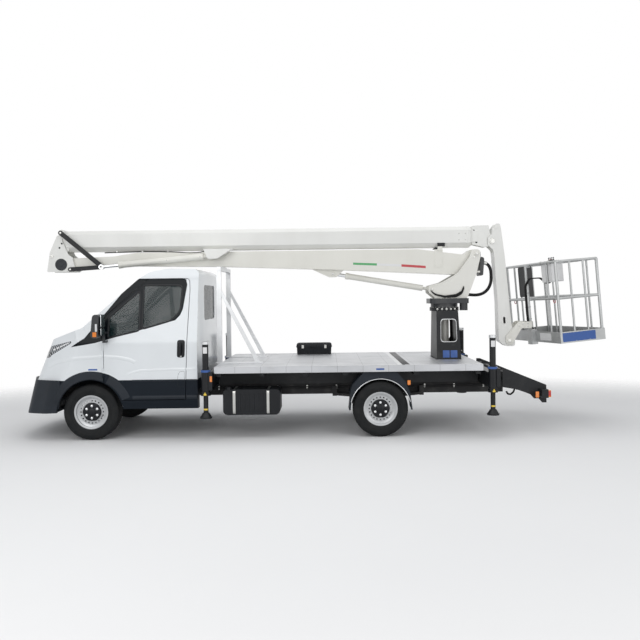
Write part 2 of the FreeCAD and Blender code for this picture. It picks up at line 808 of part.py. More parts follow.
def cab():
    """The hollow cab, with its doors and its bonnet cut out of the same skin."""
    outer = cab_layer("cab_outer", 0)
    inner = cab_layer("cab_inner", size("cab_wall"))
    room = box("cab_room", ("firewall", -1200, "rail_top + seat_gap + floor_thick"), (2000, 2400, 2000))
    bay = box("engine_bay", (-1200, -1200, 0), ("1200 - firewall", 2400, 2400))
    below = across("under_floor", -1200, 0, ("cab_rear + 1300", "rail_top + seat_gap"), 860)
    front_open = across("nose_open", -1000, 590, (980, 210), 800)
    wells = wheel_wells()
    above = box("housing_room", (-1200, -1200, "rail_top + seat_gap"), (3000, 2400, 2000))
    houses = fuse("wheel_houses", wheel_houses("house", "well_radius + house_wall", 0))
    houses = common("wheel_house_form", [outer, above, houses])
    hollow = [common("cab_room_form", [inner, room]), common("engine_bay_form", [inner, bay])]
    skin = cut("cab_skin", fuse("cab_body", [cut("cab_rough", outer, hollow + [below, front_open]), houses]), wells)
    gap = size("panel_gap")
    step = across("door_step", 0, 0, ("cab_rear", "step_high"), "step_half")
    door_hole = cut("door_hole", fuse("door_holes", pair("door_hole", DOOR, 600, 1200)), [step])
    bonnet_hole = side_plate("bonnet_hole", BONNET, -825, 1650)
    lamp_hole = [lamp_prism(f"lamp_hole_{word}", side, 0) for word, side in SIDES.items()]
    grille_hole = prism("grille_hole", "YZ_Plane", [GRILLE], -1000, 400)
    holes = [door_hole, bonnet_hole, grille_hole] + lamp_hole + end_windows("hole", 0)
    rooms, ears = [], []
    for side in SIDES.values():
        for low in HINGES:
            rooms.append(hinge_barrel("hinge_room", side, low + 19, low + 101, "hinge_radius + 3"))
            ears.append(hinge_barrel("hinge_ear", side, low, low + 20, "hinge_radius"))
            ears.append(hinge_barrel("hinge_top", side, low + 100, low + 120, "hinge_radius"))
            ears.append(hinge_barrel("hinge_pin", side, low, low + 120, "hinge_pin"))
        rooms.append(lid_barrel("lid_room", side, 579, 661, "lid_radius + 4"))
        ears.append(lid_barrel("lid_ear", side, 560, 580, "lid_radius"))
        ears.append(lid_barrel("lid_end", side, 660, 680, "lid_radius"))
        ears.append(lid_barrel("lid_pin", side, 560, 680, "lid_pin"))
    shell = cut("cab_shell_open", skin, holes + rooms)
    sub_part(fuse("cab_shell_form", [shell] + ears), "cab_shell")
    windows = window_prisms("door_window", 0)
    step_room = across("door_step_room", 0, 0, ("cab_rear", f"step_high + {gap}"), f"step_half + {gap}")
    for word, side in SIDES.items():
        leaf = cut(f"door_leaf_cut_{word}", side_prism(f"door_leaf_{word}", side, inset(DOOR, gap), 600, 1200), [step_room])
        door = common(f"door_skin_{word}", [skin, leaf])
        leaves = [cut(f"door_open_{word}", door, windows)]
        bores = []
        for low in HINGES:
            leaves.append(hinge_barrel("hinge_knuckle", side, low + 21, low + 99, "hinge_radius"))
            leaves.append(side_box(f"hinge_leaf_{word}_{low}", side, "hinge_x", low + 21, 993, 1004, 60, 78))
            bores.append(hinge_barrel("hinge_bore", side, low + 10, low + 110, "hinge_pin + seat_gap"))
        sub_part(cut(f"door_{word}_form", fuse(f"door_leaves_{word}", leaves), bores), f"door_{word}")
    lid = side_plate("bonnet_leaf", inset(BONNET, gap), f"-825 + {gap}", f"1650 - 2 * {gap}")
    leaves = [common("bonnet_skin", [skin, lid])]
    bores = []
    for word, side in SIDES.items():
        leaves.append(lid_barrel("lid_knuckle", side, 581, 659, "lid_radius"))
        leaves.append(side_box(f"lid_leaf_{word}", side, "lid_x - 50", "lid_z - 9", 581, 659, 48, 9))
        bores.append(lid_barrel("lid_bore", side, 570, 670, "lid_pin + seat_gap"))
    sub_part(cut("bonnet_form", fuse("bonnet_leaves", leaves), bores), "bonnet")
    return skin


GRILLE = [(-520, 860, 30), (520, 860, 30), (560, 1085, 30), (-560, 1085, 30)]
LAMP = [(-735, 985), (-640, 1000, 20), (-520, 1060, 30), (-235, 1215, 20), (-235, 1245, 10), (-520, 1178, 60), (-735, 1112)]


def lamp_prism(name, side, gap):
    """The outline of one headlamp, seen from the side and swept back along the wing."""
    return side_prism(name, side, inset(LAMP, gap), 600, 1100)


def cab_fittings():
    """Glass, lamps and grille, seated in the openings of the cab."""
    seat = size("seat_gap")
    outer = cab_layer("glass_outer", size("glass_set"))
    inner = cab_layer("glass_inner", size("glass_set") + size("glass_thick"))
    pane = cut("glass_layer", outer, [inner])
    ends = fuse("end_panes", end_windows("pane", seat))
    sub_part(common("cab_glass_form", [pane, ends]), "cab_glass")
    sides = fuse("side_panes", window_prisms("pane", seat))
    for word, side in SIDES.items():
        half = side_box(f"pane_half_{word}", side, 0, 1000, 500, 1200, 1400, 1200)
        sub_part(common(f"door_glass_{word}_form", [pane, sides, half]), f"door_glass_{word}")
    body = cut("lamp_layer", cab_layer("lamp_outer", 2), [cab_layer("lamp_inner", 40)])
    lamps = [
        common(f"headlamp_{word}", [body, lamp_prism(f"lamp_{word}", side, seat)])
        for word, side in SIDES.items()
    ]
    lid = side_plate("lamp_lid", BONNET, -825, 1650)
    lamps = [cut(f"headlamp_lens_{index}", lamp, [lid]) for index, lamp in enumerate(lamps)]
    sub_part(gather("lamps_form", lamps + tail_lamps()), "lamps")
    panel = common("grille_panel", [body, prism("grille_leaf", "YZ_Plane", [inset(GRILLE, seat)], -1000, 400)])
    slots = [
        across(f"grille_slot_{index}", -1000, f"885 + {index} * 48", (300, 26), f"460 + {index} * 8")
        for index in range(4)
    ]
    sub_part(cut("grille_form", panel, slots), "grille")


def front_bumper():
    """A moulded bumper round the nose, open behind, cut by the wheel arches."""
    rear = -380.3
    side = [(-1052, 292, 30), (rear, 318), (rear, 734.7), (-905, 734.7), (-965, 690, 30), (-1005, 520, 80)]
    plan = [
        (600, -1003),
        (600, 1003),
        (-560, 1003, 200),
        (-846, 845, 200),
        (-945, 600, 300),
        (-1085, 230, 300),
        (-1085, -230, 300),
        (-945, -600, 300),
        (-846, -845, 200),
        (-560, -1003, 200),
    ]
    wall, level, lean = 24, 360, 14
    outer = common(
        "bumper_outer",
        [side_plate("bumper_side", side, -1200, 2400), leaned("bumper_plan", plan, 0, level, lean)],
    )
    hollow_side = [(-1025, 318, 20), (-200, 350), (-200, 760), (-880, 760), (-935, 690, 30), (-978, 520, 60)]
    hollow = common(
        "bumper_hollow",
        [side_plate("bumper_hollow_side", hollow_side, -1200, 2400), leaned("bumper_hollow_plan", plan, wall, level, lean)],
    )
    wells = [
        sideways(f"bumper_well_{word}", sign, 0, "hub_z", 470, "lip_inner", "well_radius + 8")
        for word, sign in SIDES.items()
    ]
    arches = [
        sideways(f"bumper_arch_{word}", sign, 0, "hub_z", "lip_inner - 5", 1200, "arch_radius")
        for word, sign in SIDES.items()
    ]
    sub_part(cut("front_bumper_form", outer, [hollow] + wells + arches), "front_bumper")


def cab_inside():
    """The dashboard with its steering wheel, and the seats on the cab's floor."""
    floor = size("rail_top") + 2 * size("seat_gap") + size("floor_thick")
    panel = [(70, floor), (200, floor, 30), (250, 900, 60), (420, 960, 40), (430, 1080, 50), (300, 1180, 60), (70, 1230, 20)]
    dash = side_plate("dash_form", panel, -800, 1600)
    column = rod("steering_column", (300, -420, 1050), "x", 26, 190)
    hoop = doc.addObject("Part::Torus", "steering_hoop")
    hoop.Placement = Placement(Vector(), Rotation(Vector(0, 1, 0), 62))
    bind(hoop, {"Radius1": 190, "Radius2": 14})
    bind(hoop, {"Placement.Base.x": 500, "Placement.Base.y": -420, "Placement.Base.z": 1085})
    spoke = box("steering_spoke", (478, -600, 1060), (24, 360, 50))
    joined = fuse("dashboard_joined", [dash, column, hoop, spoke])
    houses = wheel_houses("dash_house", "well_radius + house_wall + 5", 5)
    sub_part(cut("dashboard_form", joined, houses), "dashboard")
    base = [(600, floor), (1110, floor), (1095, 830), (1020, 955), (600, 930, 60)]
    back = [(1095.4, 830.2), (1190, 830.2), (1285, 1555, 40), (1250, 1600, 40), (1195, 1595, 40), (1020.4, 955.2)]
    seats = []
    for label, low, wide in (("driver", -680, 500), ("bench", -100, 860)):
        seats.append(side_plate(f"{label}_cushion", base, low, wide))
        seats.append(side_plate(f"{label}_back", back, low, wide))
    sub_part(gather("seats_form", seats), "seats")


def mirror(word, side):
    """A tall mirror housing on two arms from the door."""
    housing = [(120, 1292, 40), (215, 1292, 40), (235, 1590, 60), (150, 1590, 60)]
    name = f"mirror_{word}"
    shell = side_prism(f"{name}_housing", side, housing, 1085, 1290)
    arms = [
        side_box(f"{name}_arm_{index}", side, 215, z, 960, 1100, 34, 26)
        for index, z in enumerate((1335, 1225))
    ]
    post = side_box(f"{name}_post", side, 215, 1225, 1085, 1110, 30, 120)
    joined = fuse(f"{name}_joined", [shell, post] + arms)
    return cut(f"{name}_form", joined, [cab_layer(f"{name}_seat", -size("seat_gap"))])


# lift


def pedestal():
    """A tapered box column on the subframe with a window through its sides."""
    base = size("subframe_top") + size("seat_gap")
    plate = 20
    low = base + plate
    top = size("pedestal_top")
    side = [(4603, low), (4948, low), (4915, top), (4612, top)]
    front = [(-300, low), (300, low), (240, top), (-240, top)]
    outer = common(
        "column_outer",
        [side_plate("column_side", side, -400, 800), prism("column_front", "YZ_Plane", [front], 4500, 600)],
    )
    wall = 12
    inner = common(
        "column_inner",
        [
            side_plate("column_hollow_side", inset(side, wall), -400, 800),
            prism("column_hollow_front", "YZ_Plane", [inset(front, wall)], 4500, 600),
        ],
    )
    window = [(4668, 1135, 50), (4888, 1135, 50), (4880, 1442, 50), (4673, 1442, 50)]
    hole = side_plate("column_window", window, -400, 800)
    column = cut("column_form", outer, [inner, hole])
    foot = across("column_foot", 4560, base, (420, plate), 460)
    ring_form = rod("slew_ring", ("slew_axis", 0, "pedestal_top"), "z", "ring_radius", "ring_high")
    core = rod("manifold_core", ("slew_axis", 0, low), "z", 62, top - low)
    return sub_part(fuse("pedestal_form", [column, foot, ring_form, core]), "pedestal")


def turret():
    """The turntable with its two curved side plates, tie, pins and slew drive."""
    ring_form = rod("turn_ring", ("slew_axis", 0, "turn_low"), "z", 190, "turn_plate - turn_low")
    plate = prism(
        "turn_plate_form",
        "XY_Plane",
        [[(4530, -215, 60), (5078, -215, 40), (5078, 215, 40), (4530, 215, 60)]],
        "turn_plate",
        "turn_top - turn_plate",
    )
    pin_x, pin_z = size("boom_pin_x"), size("boom_pin_z")
    outline = [
        (4520, 1820, 30),
        (4640, 1720),
        (5048, 1720),
        (5110, 1860),
        (5186, 2060, 300),
        (pin_x + 62, pin_z - 40),
        (pin_x + 58, pin_z + 60, 55),
        (pin_x - 62, pin_z + 60, 55),
        (pin_x - 90, pin_z - 40, 60),
        (4930, 2090, 300),
        (4700, 1960, 150),
        (4520, 1915, 30),
    ]
    plates = pair("turret_plate", outline, 150, 172)
    tie = [(5000, 1735), (5030, 1735), (5120, 1990), (5092, 1996)]
    pieces = [ring_form, plate, side_plate("turret_tie", tie, -150, 300)] + plates
    pieces.append(rod("boom_pin", ("boom_pin_x", -186, "boom_pin_z"), "y", 28, 372))
    pieces.append(rod("lift_pin", (LIFT_BASE[0], -180, LIFT_BASE[1]), "y", 20, 360))
    pieces.append(rod("slew_gearbox", (5012, -140, 1565), "z", 56, 110))
    pieces.append(rod("slew_motor", (4700, 0, "turn_top - 5"), "z", 62, 85))
    cover = [(5250, 2045, 15), (5300, 2060, 20), (5318, 2300, 30), (5262, 2330, 20)]
    back = side_plate("turret_cover_form", cover, -110, 220)
    bridge = across("cover_bridge", 5150, 2095, (120, 24), 150)
    pieces += [back, bridge]
    sub_part(fuse("turret_form", pieces), "turret")


LIFT_BASE = (4560, 1868)
LIFT_EYE = (3171, 2105)
TILT_BASE = (1472, 2372)
ELBOW_PIN = (-70, 2236)
LEVER_PIN = (-650, 2722)
LINK_PIN = (-530, 2208)


def lower_boom():
    """A fish-bellied box arm between the turret and the elbow."""
    pin_x, pin_z = size("boom_pin_x"), size("boom_pin_z")
    end_x, end_z = size("elbow_x"), size("elbow_z")
    outline = [
        (end_x - 82, end_z - 80, 78),
        (end_x + 120, end_z - 42, 40),
        (100, 2252),
        (1560, 2226, 800),
        (3200, 2160, 800),
        (4880, 2072, 100),
        (5050, 2090, 60),
        (pin_x + 60, pin_z - 100, 120),
        (pin_x + 60, pin_z + 60, 58),
        (pin_x - 70, pin_z + 60, 58),
        (5020, 2352, 100),
        (4380, 2436, 300),
        (400, 2436, 200),
        (60, 2386, 200),
        (end_x - 82, end_z + 82, 78),
    ]
    solid = side_plate("lower_boom_solid", outline, -105, 210)
    core = [(-420, 2262), (100, 2268), (1560, 2242), (3200, 2176), (4860, 2092), (4960, 2120), (4960, 2338), (4370, 2424), (410, 2424), (80, 2370), (-420, 2352)]
    hollow = side_plate("lower_boom_core", core, -93, 186)
    gusset = [(2850, 2186), (3330, 2160), (3225, 2058, 45), (3120, 2058, 45)]
    cheeks = pair("lift_gusset", gusset, 32, 46)
    caps = [sideways(f"lift_cap_{w}", s, LIFT_EYE[0], LIFT_EYE[1], 44, 54, 30) for w, s in SIDES.items()]
    rest = across("boom_rest_post", 4700, 2400, (60, 22), 40)
    bores = [
        rod("boom_pin_bore", ("boom_pin_x", -200, "boom_pin_z"), "y", "28 + seat_gap", 400),
        rod("elbow_bore", ("elbow_x", -200, "elbow_z"), "y", "40 + seat_gap", 400),
    ]
    bosses = [sideways(f"boom_boss_{w}", s, "boom_pin_x", "boom_pin_z", 100, 149.5, 50) for w, s in SIDES.items()]
    ribs = [sideways(f"elbow_boss_{w}", s, "elbow_x", "elbow_z", 100, 126.5, 60) for w, s in SIDES.items()]
    shell = cut("lower_boom_shell", solid, [hollow])
    form = fuse("lower_boom_joined", [shell] + cheeks + caps + bosses + ribs)
    sub_part(cut("lower_boom_form", form, bores), "lower_boom")


def elbow_head():
    """The two head plates at the front, with the pins that join the booms."""
    outline = [
        (-862, 2176, 12),
        (-500, 2176, 20),
        (-462, 2206, 20),
        (-505, 2376, 20),
        (-560, 2420, 40),
        (-640, 2600, 60),
        (-660, 2690, 30),
        (-715, 2690, 30),
        (-820, 2450, 40),
    ]
    plates = pair("elbow_plate", outline, 127, 143)
    pieces = plates + [
        rod("elbow_shaft", ("elbow_x", -143, "elbow_z"), "y", 40, 286),
        rod("upper_shaft", ("upper_pin_x", -151, "upper_pin_z"), "y", 24, 302),
        sideways("elbow_cap_left", -1, "elbow_x", "elbow_z", 139, 149, 86),
        sideways("elbow_cap_right", 1, "elbow_x", "elbow_z", 139, 149, 86),
        sideways("link_stud", -1, LINK_PIN[0], LINK_PIN[1], 139, 168, 13),
    ]
    sub_part(fuse("elbow_head_form", pieces), "elbow_head")


def strap(name, start, end, half_wide, near, far, bores):
    """A flat link with round ends between two pins, on the driver's side."""
    angle = math.atan2(end[1] - start[1], end[0] - start[0])
    long = math.hypot(end[0] - start[0], end[1] - start[1])
    r = half_wide
    outline = [(-r, -r, r), (long + r, -r, r), (long + r, r, r), (-r, r, r)]
    turned = [
        (
            start[0] + u * math.cos(angle) - v * math.sin(angle),
            start[1] + u * math.sin(angle) + v * math.cos(angle),
            radius,
        )
        for u, v, radius in outline
    ]
    link = side_prism(f"{name}_strap", -1, turned, near, far)
    holes = [
        sideways(f"{name}_hole_{index}", -1, place[0], place[1], near - 5, far + 5, radius)
        for index, (place, radius) in enumerate(bores)
    ]
    return cut(f"{name}_form", link, holes)


def elbow_links():
    """The link from the head and the lever from the upper boom, side by side."""
    gap = size("seat_gap")
    link = strap("elbow_link", LINK_PIN, ELBOW_PIN, 30, 149, 165, [(LINK_PIN, 13 + gap), (ELBOW_PIN, 16)])
    sub_part(link, "elbow_link")
    lever = strap("elbow_lever", LEVER_PIN, ELBOW_PIN, 32, 171, 187, [(LEVER_PIN, 15 + gap), (ELBOW_PIN, 16)])
    sub_part(lever, "elbow_lever")


def boom_outline(distance):
    """The section of the upper boom, moved inwards."""
    low, high, half = size("upper_low"), size("upper_high"), size("upper_half")
    section = [
        (-0.5 * half, low, 12),
        (0.5 * half, low, 12),
        (half, low + 62, 12),
        (half, high - 52, 12),
        (0.72 * half, high, 12),
        (-0.72 * half, high, 12),
        (-half, high - 52, 12),
        (-half, low + 62, 12),
    ]
    return inset(section, distance)


def boom_tube(name, distance, front, length, wall):
    """A hollow section of the boom whose outside lies a distance inside the first."""
    outer = prism(f"{name}_outside", "YZ_Plane", [boom_outline(distance)], front, length)
    inner = prism(f"{name}_inside", "YZ_Plane", [boom_outline(distance + wall)], front - 10, length + 20)
    return cut(f"{name}_tube", outer, [inner])


def upper_boom():
    """Three nested sections, each on slide rings, with the jib's head on the last."""
    wall = size("boom_wall")
    gap = size("slide_gap")
    front, rear = size("upper_front"), size("upper_rear")
    sections = (("upper_boom", 0, front, rear), ("upper_mid", size("mid_inset"), front + 120, rear + 20))
    last = ("upper_inner", size("inner_inset"), front + 240, rear + 30)
    forms = {}
    ring_long = 90
    for name, distance, start, end in sections + (last,):
        pieces = [boom_tube(name, distance, start, end - start, wall)]
        if name != "upper_boom":
            outside = distance - size("mid_inset") + wall + gap
            thick = distance - outside + 1
            pieces.append(boom_tube(f"{name}_tail", outside, start, ring_long, thick))
        if name != "upper_inner":
            inside = distance + wall - 1
            thick = size("mid_inset") - wall - gap + 1
            pieces.append(boom_tube(f"{name}_mouth", inside, end - ring_long, ring_long, thick))
        forms[name] = pieces
    lugs = [
        (front + 40, 2470),
        (front + 40, 2700),
        (front - 10, 2700),
        (-838, 2440, 46),
        (-838, 2350, 46),
        (-742, 2350, 46),
        (front - 60, 2470, 40),
    ]
    plates = pair("upper_lug", lugs, 84, 112)
    lever_stud = sideways("lever_stud", -1, LEVER_PIN[0], LEVER_PIN[1], 100, 192, 15)
    lever_ear = side_prism(
        "lever_ear", -1, [(-700, 2672, 30), (-560, 2640), (-560, 2745), (-660, 2775, 30), (-705, 2760, 30)], 84, 112
    )
    bracket = [(1365, 2466), (1770, 2466), (1560, 2332, 40), (1425, 2325, 45)]
    cheeks = [
        side_prism("tilt_cheek_inner", -1, bracket, 172, 187),
        side_prism("tilt_cheek_outer", -1, bracket, 245, 260),
        side_box("tilt_shelf", -1, 1365, 2453, 50, 260, 405, 12),
        sideways("tilt_pin", -1, TILT_BASE[0], TILT_BASE[1], 168, 264, 18),
    ]
    joined = fuse("upper_boom_joined", forms["upper_boom"] + plates + [lever_ear, lever_stud] + cheeks)
    shaft_bore = rod("upper_shaft_bore", ("upper_pin_x", -200, "upper_pin_z"), "y", "24 + seat_gap", 400)
    sub_part(cut("upper_boom_form", joined, [shaft_bore]), "upper_boom")
    sub_part(fuse("upper_mid_form", forms["upper_mid"]), "upper_mid")
    jib_x, jib_z = size("jib_pin_x"), size("jib_pin_z")
    end = rear + 30
    head = [
        (end, 2500),
        (5330, 2455, 20),
        (jib_x + 50, jib_z - 52, 45),
        (jib_x + 50, jib_z + 52, 45),
        (5405, 2650, 30),
        (5395, 2768, 20),
        (end, 2762, 20),
    ]
    head_plates = pair("jib_head", head, 50, 72)
    block = prism("jib_head_block", "YZ_Plane", [boom_outline(size("inner_inset"))], end - 10, 90)
    web = across("jib_head_web", end + 60, 2500, (120, 180), 60)
    joined = fuse("upper_inner_joined", forms["upper_inner"] + head_plates + [block, web])
    bore = rod("jib_bore", ("jib_pin_x", -200, "jib_pin_z"), "y", "25 + seat_gap", 400)
    sub_part(cut("upper_inner_form", joined, [bore]), "upper_inner")


JIB = [
    (5620, 1047, 35),
    (5748, 1047, 35),
    (5738, 1215, 60),
    (5697, 1360, 200),
    (5657, 1810, 600),
    (5612, 2300, 600),
    (5562, 2700, 60),
    (5545, 2788, 40),
    (5492, 2788, 30),
    (5436, 2712, 30),
    (5432, 2640, 40),
    (5374, 2590, 40),
    (5374, 2486, 50),
    (5450, 2410, 60),
    (5462, 2300, 300),
    (5505, 1680, 600),
    (5516, 1120, 60),
]


def jib():
    """A tapered box arm, forked at the top round the boom's head."""
    solid = side_plate("jib_solid", JIB, -98, 196)
    core = side_plate("jib_core", inset(JIB, 10), -88, 176)
    room = box("jib_core_room", (5300, -200, 1240), (600, 400, 1130))
    fork = box("jib_fork", (5300, -84, 2380), (400, 168, 500))
    slot = side_plate("jib_slot", [(5585, 1372, 12), (5611, 1372, 12), (5606, 1460, 12), (5580, 1460, 12)], -200, 400)
    shell = cut("jib_shell", solid, [common("jib_hollow", [core, room]), fork, slot])
    pins = [
        rod("jib_pin", ("jib_pin_x", -106, "jib_pin_z"), "y", 25, 212),
        rod("level_pin", ("level_pin_x", -126, "level_pin_z"), "y", 24, 252),
    ]
    pins += [sideways(f"jib_cap_{word}", side, 5488, 2742, 94, 108, 20) for word, side in SIDES.items()]
    sub_part(fuse("jib_form", [shell] + pins), "jib")


def basket_carrier():
    """The levelling bracket: cheeks round the jib's foot, bridged to the upright sleeve."""
    cheek = [
        (5612, 1085, 40),
        (5700, 1074, 40),
        (5836, 1300, 30),
        (5950, 1300),
        (5950, 1392, 20),
        (5800, 1400, 60),
        (5612, 1190, 50),
    ]
    plates = pair("carrier_cheek", cheek, 104, 118)
    bridge = across("carrier_bridge", 5830, 1304, (150, 84), 118)
    sleeve = doc.addObject("Part::Cylinder", "carrier_sleeve")
    sleeve.Placement = Placement(basket_place(196), Rotation(Vector(0, 1, 0), size("basket_lean")))
    bind(sleeve, {"Radius": 42, "Height": 100})
    hole = doc.addObject("Part::Cylinder", "carrier_sleeve_bore")
    hole.Placement = Placement(basket_place(150), Rotation(Vector(0, 1, 0), size("basket_lean")))
    bind(hole, {"Radius": "20 + seat_gap", "Height": 200})
    bores = [rod("carrier_bore", ("level_pin_x", -200, "level_pin_z"), "y", "24 + seat_gap", 400), hole]
    sub_part(cut("basket_carrier_form", fuse("carrier_joined", plates + [bridge, sleeve]), bores), "basket_carrier")


def basket_place(height):
    """A place on the basket's turning axis at a height along it."""
    lean = math.radians(size("basket_lean"))
    return Vector(
        size("mast_x") + math.sin(lean) * height,
        0,
        size("mast_z") + math.cos(lean) * height,
    )


def in_basket(item, label):
    """Names a piece modelled in the basket's own frame and stands it on its axis."""
    item.Label = label
    turn = Rotation(Vector(0, 1, 0), size("basket_lean")) * Rotation(Vector(0, 0, 1), size("basket_yaw"))
    item.Placement = Placement(Vector(), turn)
    place = {
        "Placement.Base.x": "mast_x - axle_to_origin",
        "Placement.Base.z": "mast_z + ride_up",
    }
    sub_parts.append(bind(item, place))
    return item


def basket():
    """The tube frame with its mast, the floor with kick plates, and the control box."""
    near, far, half = 66, "62 + basket_long - 44", "basket_half - 24"
    tube = "basket_tube"
    pieces = []
    low = 20
    for word, side in SIDES.items():
        y = f"({side}) * ({half})"
        for index, x in enumerate((near, "66 + (basket_long - 48) / 3", "66 + (basket_long - 48) * 2 / 3", far)):
            radius = tube if index in (0, 3) else "basket_tube - 6"
            pieces.append(rod(f"post_{word}_{index}", (x, y, low), "z", radius, f"basket_high - {low}"))
        for level, z in (("top", "basket_high"), ("mid", "basket_high * 0.55")):
            pieces.append(rod(f"side_rail_{level}_{word}", (near, y, z), "x", "basket_tube - 3", f"({far}) - {near}"))
    for index, x in enumerate((near, far)):
        for level, z in (("top", "basket_high"), ("mid", "basket_high * 0.55")):
            pieces.append(rod(f"end_rail_{level}_{index}", (x, f"-({half})", z), "y", "basket_tube - 2", f"2 * ({half})"))
        for post, share in enumerate((-0.33, 0.33)):
            pieces.append(rod(f"end_post_{index}_{post}", (x, f"({share}) * 2 * ({half})", low), "z", "basket_tube - 6", f"basket_high - {low}"))
    pieces.append(rod("mast_upper", (0, 0, 301), "z", 26, 520))
    pieces.append(rod("mast_pin", (0, 0, 10), "z", 20, 320))
    pieces.append(box("mast_foot", (-24, -60, -34), (90, 120, 210)))
    pieces.append(box("mast_arm", (0, -20, 585), (60, 40, 40)))
    pieces.append(box("mast_hook", (0, -30, 1060), (60, 60, 40)))
    pieces.append(rod("mast_top", (0, 0, 800), "z", 18, 290))
    frame = fuse("basket_frame_joined", pieces)
    floor = box("basket_floor_form", (42, "-basket_half", 0), ("basket_long", "2 * basket_half", 24))
    kicks = [
        box("kick_front", (40, "-basket_half", 0), (4, "2 * basket_half", "kick_high")),
        box("kick_rear", ("40 + basket_long", "-basket_half", 0), (4, "2 * basket_half", "kick_high")),
        box("kick_left", (40, "-basket_half - 2", 0), ("basket_long + 4", 4, "kick_high")),
        box("kick_right", (40, "basket_half - 2", 0), ("basket_long + 4", 4, "kick_high")),
    ]
    in_basket(fuse("basket_form", [frame, floor] + kicks), "basket_frame")
    case = [(-560, 830, 20), (-290, 830, 20), (-290, 1115, 30), (-560, 1115, 30)]
    control = prism("control_box_solid", "YZ_Plane", [case], 84.3, 170)
    in_basket(control, "control_box")


def cylinder_set(name, base, eye, half, barrel_radius, rod_radius, base_radius, share, y):
    """A hydraulic cylinder between two pins: its barrel and its rod, in line."""
    run = Vector(eye[0] - base[0], 0, eye[1] - base[1])
    along = run / run.Length
    spin = Rotation(Vector(0, 0, 1), along)
    origin = Vector(base[0], y, base[1])

    def bar(part, start, length, radius):
        item = doc.addObject("Part::Cylinder", f"{name}_{part}")
        item.Placement = Placement(origin + along * start, spin)
        bind(item, {"Radius": radius, "Height": length})
        return item

    def eye_ring(part, place, radius):
        return rod(f"{name}_{part}", (place[0], y - half, place[1]), "y", radius, 2 * half)

    gap = size("seat_gap")
    length = run.Length
    barrel_start, barrel_end = 110, length * share
    barrel = fuse(
        f"{name}_barrel_joined",
        [
            eye_ring("base_eye", base, base_radius + 18),
            bar("neck", 20, 110, barrel_radius * 0.5),
            bar("case", barrel_start, barrel_end - barrel_start, barrel_radius),
            bar("gland", barrel_end - 50, 50, barrel_radius + 5),
        ],
    )
    bores = [
        bar("bore", barrel_start + 20, barrel_end, rod_radius + gap),
        eye_ring("base_bore", base, base_radius + gap),
    ]
    sub_part(cut(f"{name}_barrel_form", barrel, bores), f"{name}_cylinder")
    stem = fuse(
        f"{name}_rod_joined",
        [
            bar("stem", barrel_start + 40, length - barrel_start - 60, rod_radius),
            eye_ring("rod_eye", eye, base_radius + 15),
        ],
    )
    sub_part(cut(f"{name}_rod_form", stem, [eye_ring("rod_bore", eye, base_radius)]), f"{name}_rod")


def hose(label, points, y, radius):
    """A hose along straight runs joined by arcs as large as the runs allow."""
    edges = []
    start = Vector(points[0][0], y, points[0][1])
    radii = []
    for before, here, after in zip(points, points[1:], points[2:]):
        corner = Vector(here[0], y, here[1])
        back = Vector(before[0], y, before[1]) - corner
        ahead = Vector(after[0], y, after[1]) - corner
        reach = 0.45 * min(back.Length, ahead.Length)
        turn = math.pi - back.getAngle(ahead)
        bend = reach / math.tan(turn / 2)
        radii.append(bend)
        first = corner + back / back.Length * reach
        last = corner + ahead / ahead.Length * reach
        chord = (first + last) / 2
        out = corner - chord
        middle = corner - out / out.Length * (math.hypot(reach, bend) - bend)
        edges.append(Part.LineSegment(start, first).toShape())
        edges.append(Part.Arc(first, middle, last).toShape())
        start = last
    edges.append(Part.LineSegment(start, Vector(points[-1][0], y, points[-1][1])).toShape())
    path = Part.Wire(edges)
    heading = Vector(points[1][0] - points[0][0], 0, points[1][1] - points[0][1])
    circle = Part.Wire(Part.makeCircle(radius, Vector(points[0][0], y, points[0][1]), heading))
    item = doc.addObject("Part::Feature", f"{label}_form")
    item.Shape = path.makePipeShell([circle], True, False)
    print(label, "radii", [round(r) for r in radii], "volume ratio", item.Shape.Volume / (math.pi * radius**2 * path.Length))
    return sub_part(item, label)


frame_rails()
axles()
engine_block()
fuel_tank()
rear_mudguards()
tail_frame()
subframe()
deck()
headboard()
pad_case()
JACKS = (("front", "front_jack", "front_head"), ("rear", "rear_jack", "rear_head"))
sub_part(gather("jack_frames_form", [jack_frame(*jack) for jack in JACKS]), "jack_frames")
for jack in JACKS:
    for word, side in SIDES.items():
        jack_leg(*jack, word, side)
for end, x in (("front", 0), ("rear", "wheelbase")):
    for word, side in SIDES.items():
        tyre(f"tyre_{end}_{word}", x, side)
        rim(f"wheel_{end}_{word}", x, side)
for word, side in SIDES.items():
    steering_knuckle(word, side)
cab()
cab_fittings()
front_bumper()
cab_inside()
for word, side in SIDES.items():
    sub_part(mirror(word, side), f"mirror_{word}")
pedestal()
turret()
lower_boom()
elbow_head()
elbow_links()
upper_boom()
jib()
basket_carrier()
basket()
cylinder_set("lift", LIFT_BASE, LIFT_EYE, 25, 42, 25, 20, 0.87, 0)
cylinder_set("tilt", TILT_BASE, ELBOW_PIN, 24, 44, 24, 18, 0.84, -216)
hose(
    "turret_hose",
    [(5318.3, 2235), (5372, 2222), (5416, 2150), (5424, 2050), (5420, 1950), (5380, 1860), (5310, 1800), (5230, 1778), (5150, 1778), (5054.7, 1790)],
    -60,
    22,
)

doc.recompute()

os.makedirs("parts", exist_ok=True)
faults = [item.Label for item in doc.Objects if {"Invalid", "Error"} & set(item.State)]
faults += [item.Label for item in sub_parts if item.Shape.isNull() or not item.Shape.isValid()]
if faults:
    raise ValueError(f"not built: {faults}")
for item in sub_parts:
    item.Shape.exportStep(f"parts/{item.Label}.step")
    print(item.Label, round(item.Shape.Volume / 1e6, 1), "litres", len(item.Shape.Solids))
